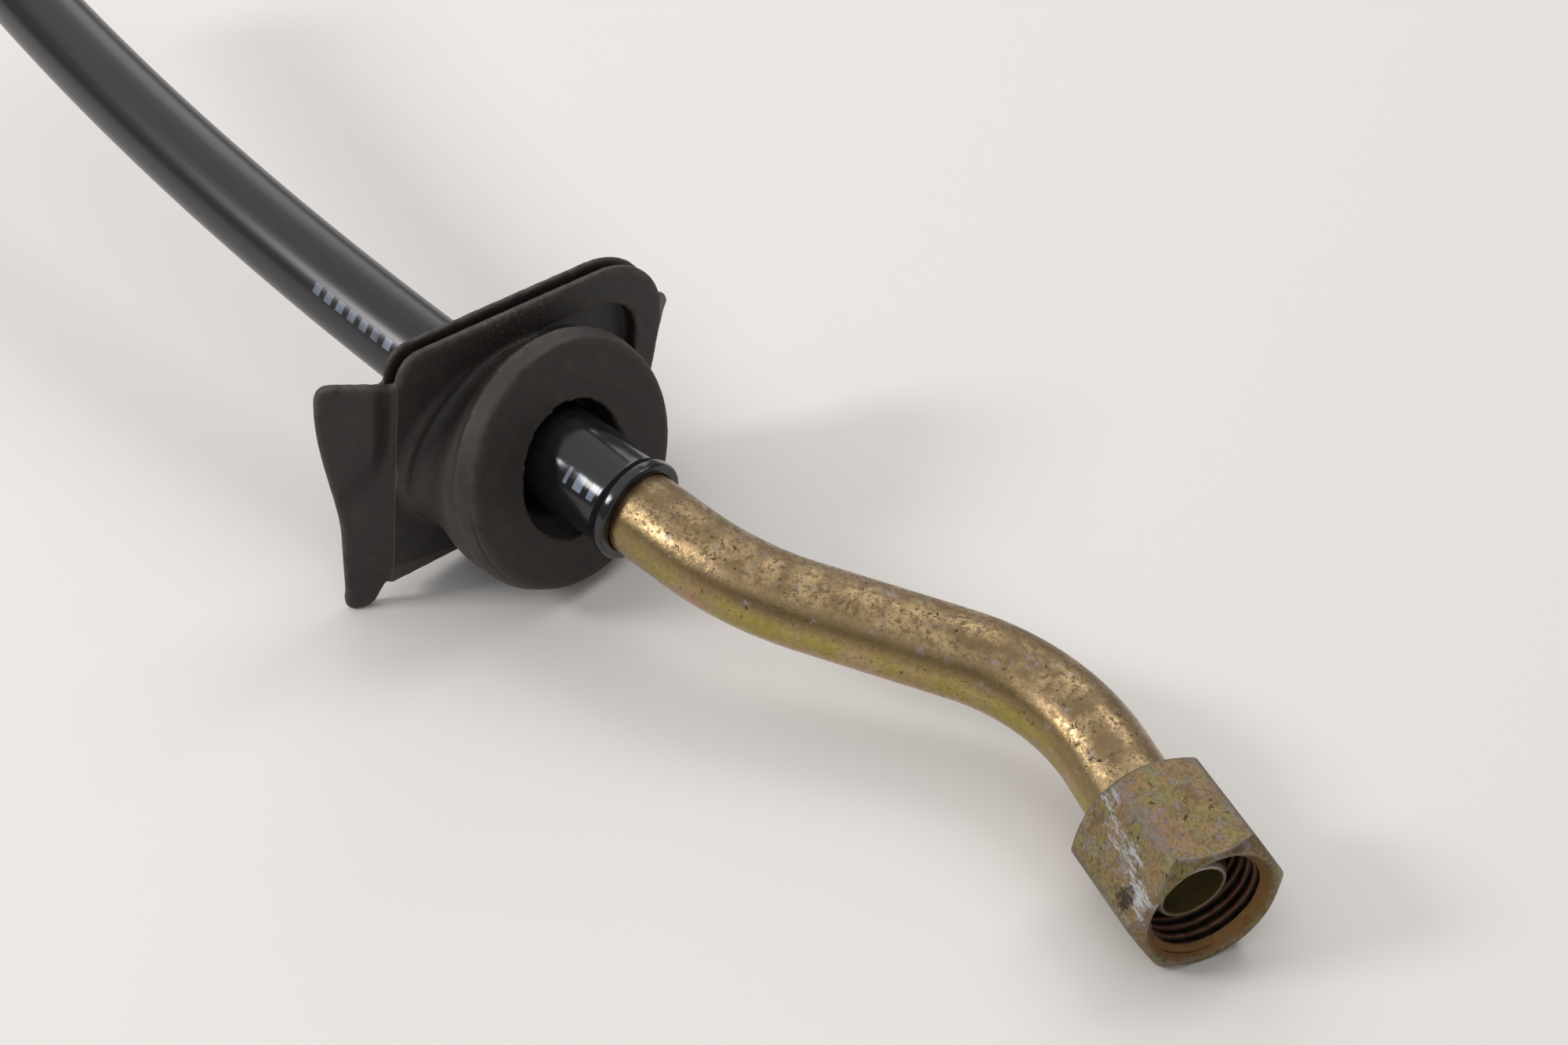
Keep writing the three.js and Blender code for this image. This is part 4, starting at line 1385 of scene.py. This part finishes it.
    def _neck(
        self, web: np.ndarray, web_normal: np.ndarray, face: np.ndarray, normal: np.ndarray
    ) -> Object:
        """The neck, from its broad low foot on the web up into the round collar."""
        top = face + normal * (self.neck_root - self.collar_length)
        over_web = (face - web) @ web_normal / web_normal[0]
        foot = np.array([face[0] - over_web - self.neck_root, face[1], 0.0])
        angle = self._angles()
        fuller = self.neck_fullness * np.clip(np.cos(angle - self.fullest), 0, 1) ** 2
        rings = []
        for share in np.linspace(0, 1, self.neck_rings):
            swell = float(np.clip((share - self.neck_swell[0]) / self.neck_swell[1], 0, 1))
            swell = swell * swell * (3 - 2 * swell)
            wide = self.neck_waist + (self.collar_rear - self.neck_step - self.neck_waist) * swell
            wide += self.foot_spread * (1 - share) ** 4
            flat = self.neck_flatness + (1 - self.neck_flatness) * share
            radius = wide * flat / np.hypot(flat * np.cos(angle), np.sin(angle))
            radius += fuller * (1 - share**3)
            tilted = web_normal * (1 - share) + normal * share
            rings.append(self._ring(foot + (top - foot) * share, tilted, radius))
        return self._loft("neck", rings)

    def _collar(self, face: np.ndarray, normal: np.ndarray) -> Object:
        """The collar, wider at its rear edge."""
        length, r, step = self.collar_length, self.collar_round, self.neck_step / 2
        profile = [(-length, self.collar_rear - step), (-length + step, self.collar_rear)]
        for a in np.radians([90, 67.5, 45, 22.5, 0]):
            profile.append((r * (math.cos(a) - 1), self.collar + r * (math.sin(a) - 1)))
        rings = [self._ring(face + normal * x, normal, wide) for x, wide in profile]
        return self._loft("collar", rings)

    def _bore(self, face: np.ndarray, axis: np.ndarray) -> Object:
        """What is cut away for the line: mouth, sealing throat and rear opening."""
        back = self.front_plate + self.groove + self.rear_plate
        mouth, edge, deep = self.mouth, self.mouth_round, -self.mouth_depth
        profile = [
            (self.collar_station - self.station - back - 2, self.rear_opening),
            (deep - self.seal_length - 1, self.rear_opening),
            (deep - self.seal_length, self.seal),
            (deep, self.seal),
            (deep + 1, mouth),
            (-2 * edge, mouth),
            (-edge, mouth + edge * 0.3),
            (0.0, mouth + edge),
            (self.collar_length, mouth + 3 * edge),
        ]
        return self._loft("bore", [self._ring(face + axis * x, axis, wide) for x, wide in profile])

    def _smooth(self, body: Object) -> None:
        """Remeshes the grommet evenly and softens its edges, as moulded rubber's are."""
        for kind, settings in (
            ("REMESH", {"mode": "VOXEL", "voxel_size": self.voxel * MM, "use_smooth_shade": True}),
            ("SMOOTH", {"factor": 0.5, "iterations": self.smoothing}),
        ):
            modifier = body.modifiers.new(kind.lower(), kind)
            for key, value in settings.items():
                setattr(modifier, key, value)
            with bpy.context.temp_override(object=body, active_object=body):
                bpy.ops.object.modifier_apply(modifier=modifier.name)
        body.data.polygons.foreach_set("use_smooth", np.ones(len(body.data.polygons), bool))


@dataclass(frozen=True)
class Softbox:
    """A square soft light: its place and target in metres, its side in metres, watts and colour."""

    name: str
    place: tuple[float, float, float]
    target: tuple[float, float, float]
    size: float
    power: float
    colour: str

    def build(self) -> None:
        """Adds the light."""
        data = bpy.data.lights.new(self.name, "AREA")
        data.size, data.energy, data.color = self.size, self.power, linear(self.colour)[:3]
        light = bpy.data.objects.new(self.name, data)
        light.location = self.place
        aim = Vector(self.target) - Vector(self.place)
        light.rotation_euler = aim.to_track_quat("-Z", "Y").to_euler()
        bpy.context.scene.collection.objects.link(light)


@dataclass
class Studio:
    """Floor, lights and the camera that stands where the photograph's did."""

    nose: np.ndarray
    focal_px: float = 3300.0
    photo_width: float = 2000.0
    looks: tuple[float, float, float] = (-0.5154, 0.5583, -0.6501)
    away: tuple[float, float] = (104.32, -185.46)
    height: float = 243.9
    sensor_mm: float = 36.0
    floor_m: float = 6.0
    lights: tuple[Softbox, ...] = (
        Softbox("overhead", (-0.35, -0.05, 1.0), (0.0, 0.0, 0.0), 1.8, 8.4, "fffcfa"),
        Softbox("key", (0.13, 0.76, 0.92), (0.0, 0.0, 0.0), 0.5, 3.1, "fffcf8"),
        Softbox("left", (-0.47, -0.67, 0.57), (0.03, 0.0, 0.02), 0.24, 3.9, "fffcfa"),
        Softbox("behind", (-0.7, 0.8, 0.55), (0.03, 0.0, 0.02), 0.5, 1.5, "f6f8ff"),
        Softbox("front", (0.7, -0.55, 0.65), (0.08, 0.0, 0.02), 0.8, 1.6, "ffffff"),
    )
    surround: str = "eeedec"
    surround_strength: float = 0.26

    def build(self, material: Material) -> None:
        """Sets up the floor, the camera and the lights.

        Args:
            material: The floor's finish.
        """
        bpy.ops.mesh.primitive_plane_add(size=self.floor_m)
        floor = bpy.context.object
        floor.name = "floor"
        floor.data.materials.append(material)

        data = bpy.data.cameras.new("camera")
        data.sensor_width = self.sensor_mm
        data.lens = self.focal_px / self.photo_width * data.sensor_width
        data.clip_start = 0.01
        camera = bpy.data.objects.new("camera", data)
        bpy.context.scene.collection.objects.link(camera)
        spot = np.array([self.nose[0] + self.away[0], self.nose[1] + self.away[1], self.height])
        camera.location = Vector(spot) * MM
        camera.rotation_euler = Vector(self.looks).to_track_quat("-Z", "Y").to_euler()
        bpy.context.scene.camera = camera

        for light in self.lights:
            light.build()
        world = bpy.data.worlds.new("studio")
        world.use_nodes = True
        background = world.node_tree.nodes["Background"]
        background.inputs["Color"].default_value = linear(self.surround)
        background.inputs["Strength"].default_value = self.surround_strength
        bpy.context.scene.world = world
        bpy.context.scene.view_settings.view_transform = "Standard"


def main() -> None:
    """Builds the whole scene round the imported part."""
    logging.basicConfig(level=logging.INFO, format="%(name)s: %(message)s")
    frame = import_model()
    joint = frame["joints"][0]
    pivot = np.array(joint["pos_m"]) / MM
    heading = math.atan2(joint["axis"][1], joint["axis"][0])
    route, lip = Layout().build(pivot, heading)

    for part, finish in (
        (SteelTube(route, lip), ChromatedTube(lip)),
        (VacuumLine(route, lip), ExtrudedPolyamide(lip)),
        (UnionNut(pivot, heading), OxidisedNut()),
        (Grommet(route, lip), MouldedRubber()),
    ):
        made = part.build(finish.make())
        log.info("%s: %d faces", made.name, len(made.data.polygons))
    nose, _ = route.at(np.array([0.0]))
    Studio(nose[0]).build(PalePaper().make())


if __name__ == "__main__":
    main()
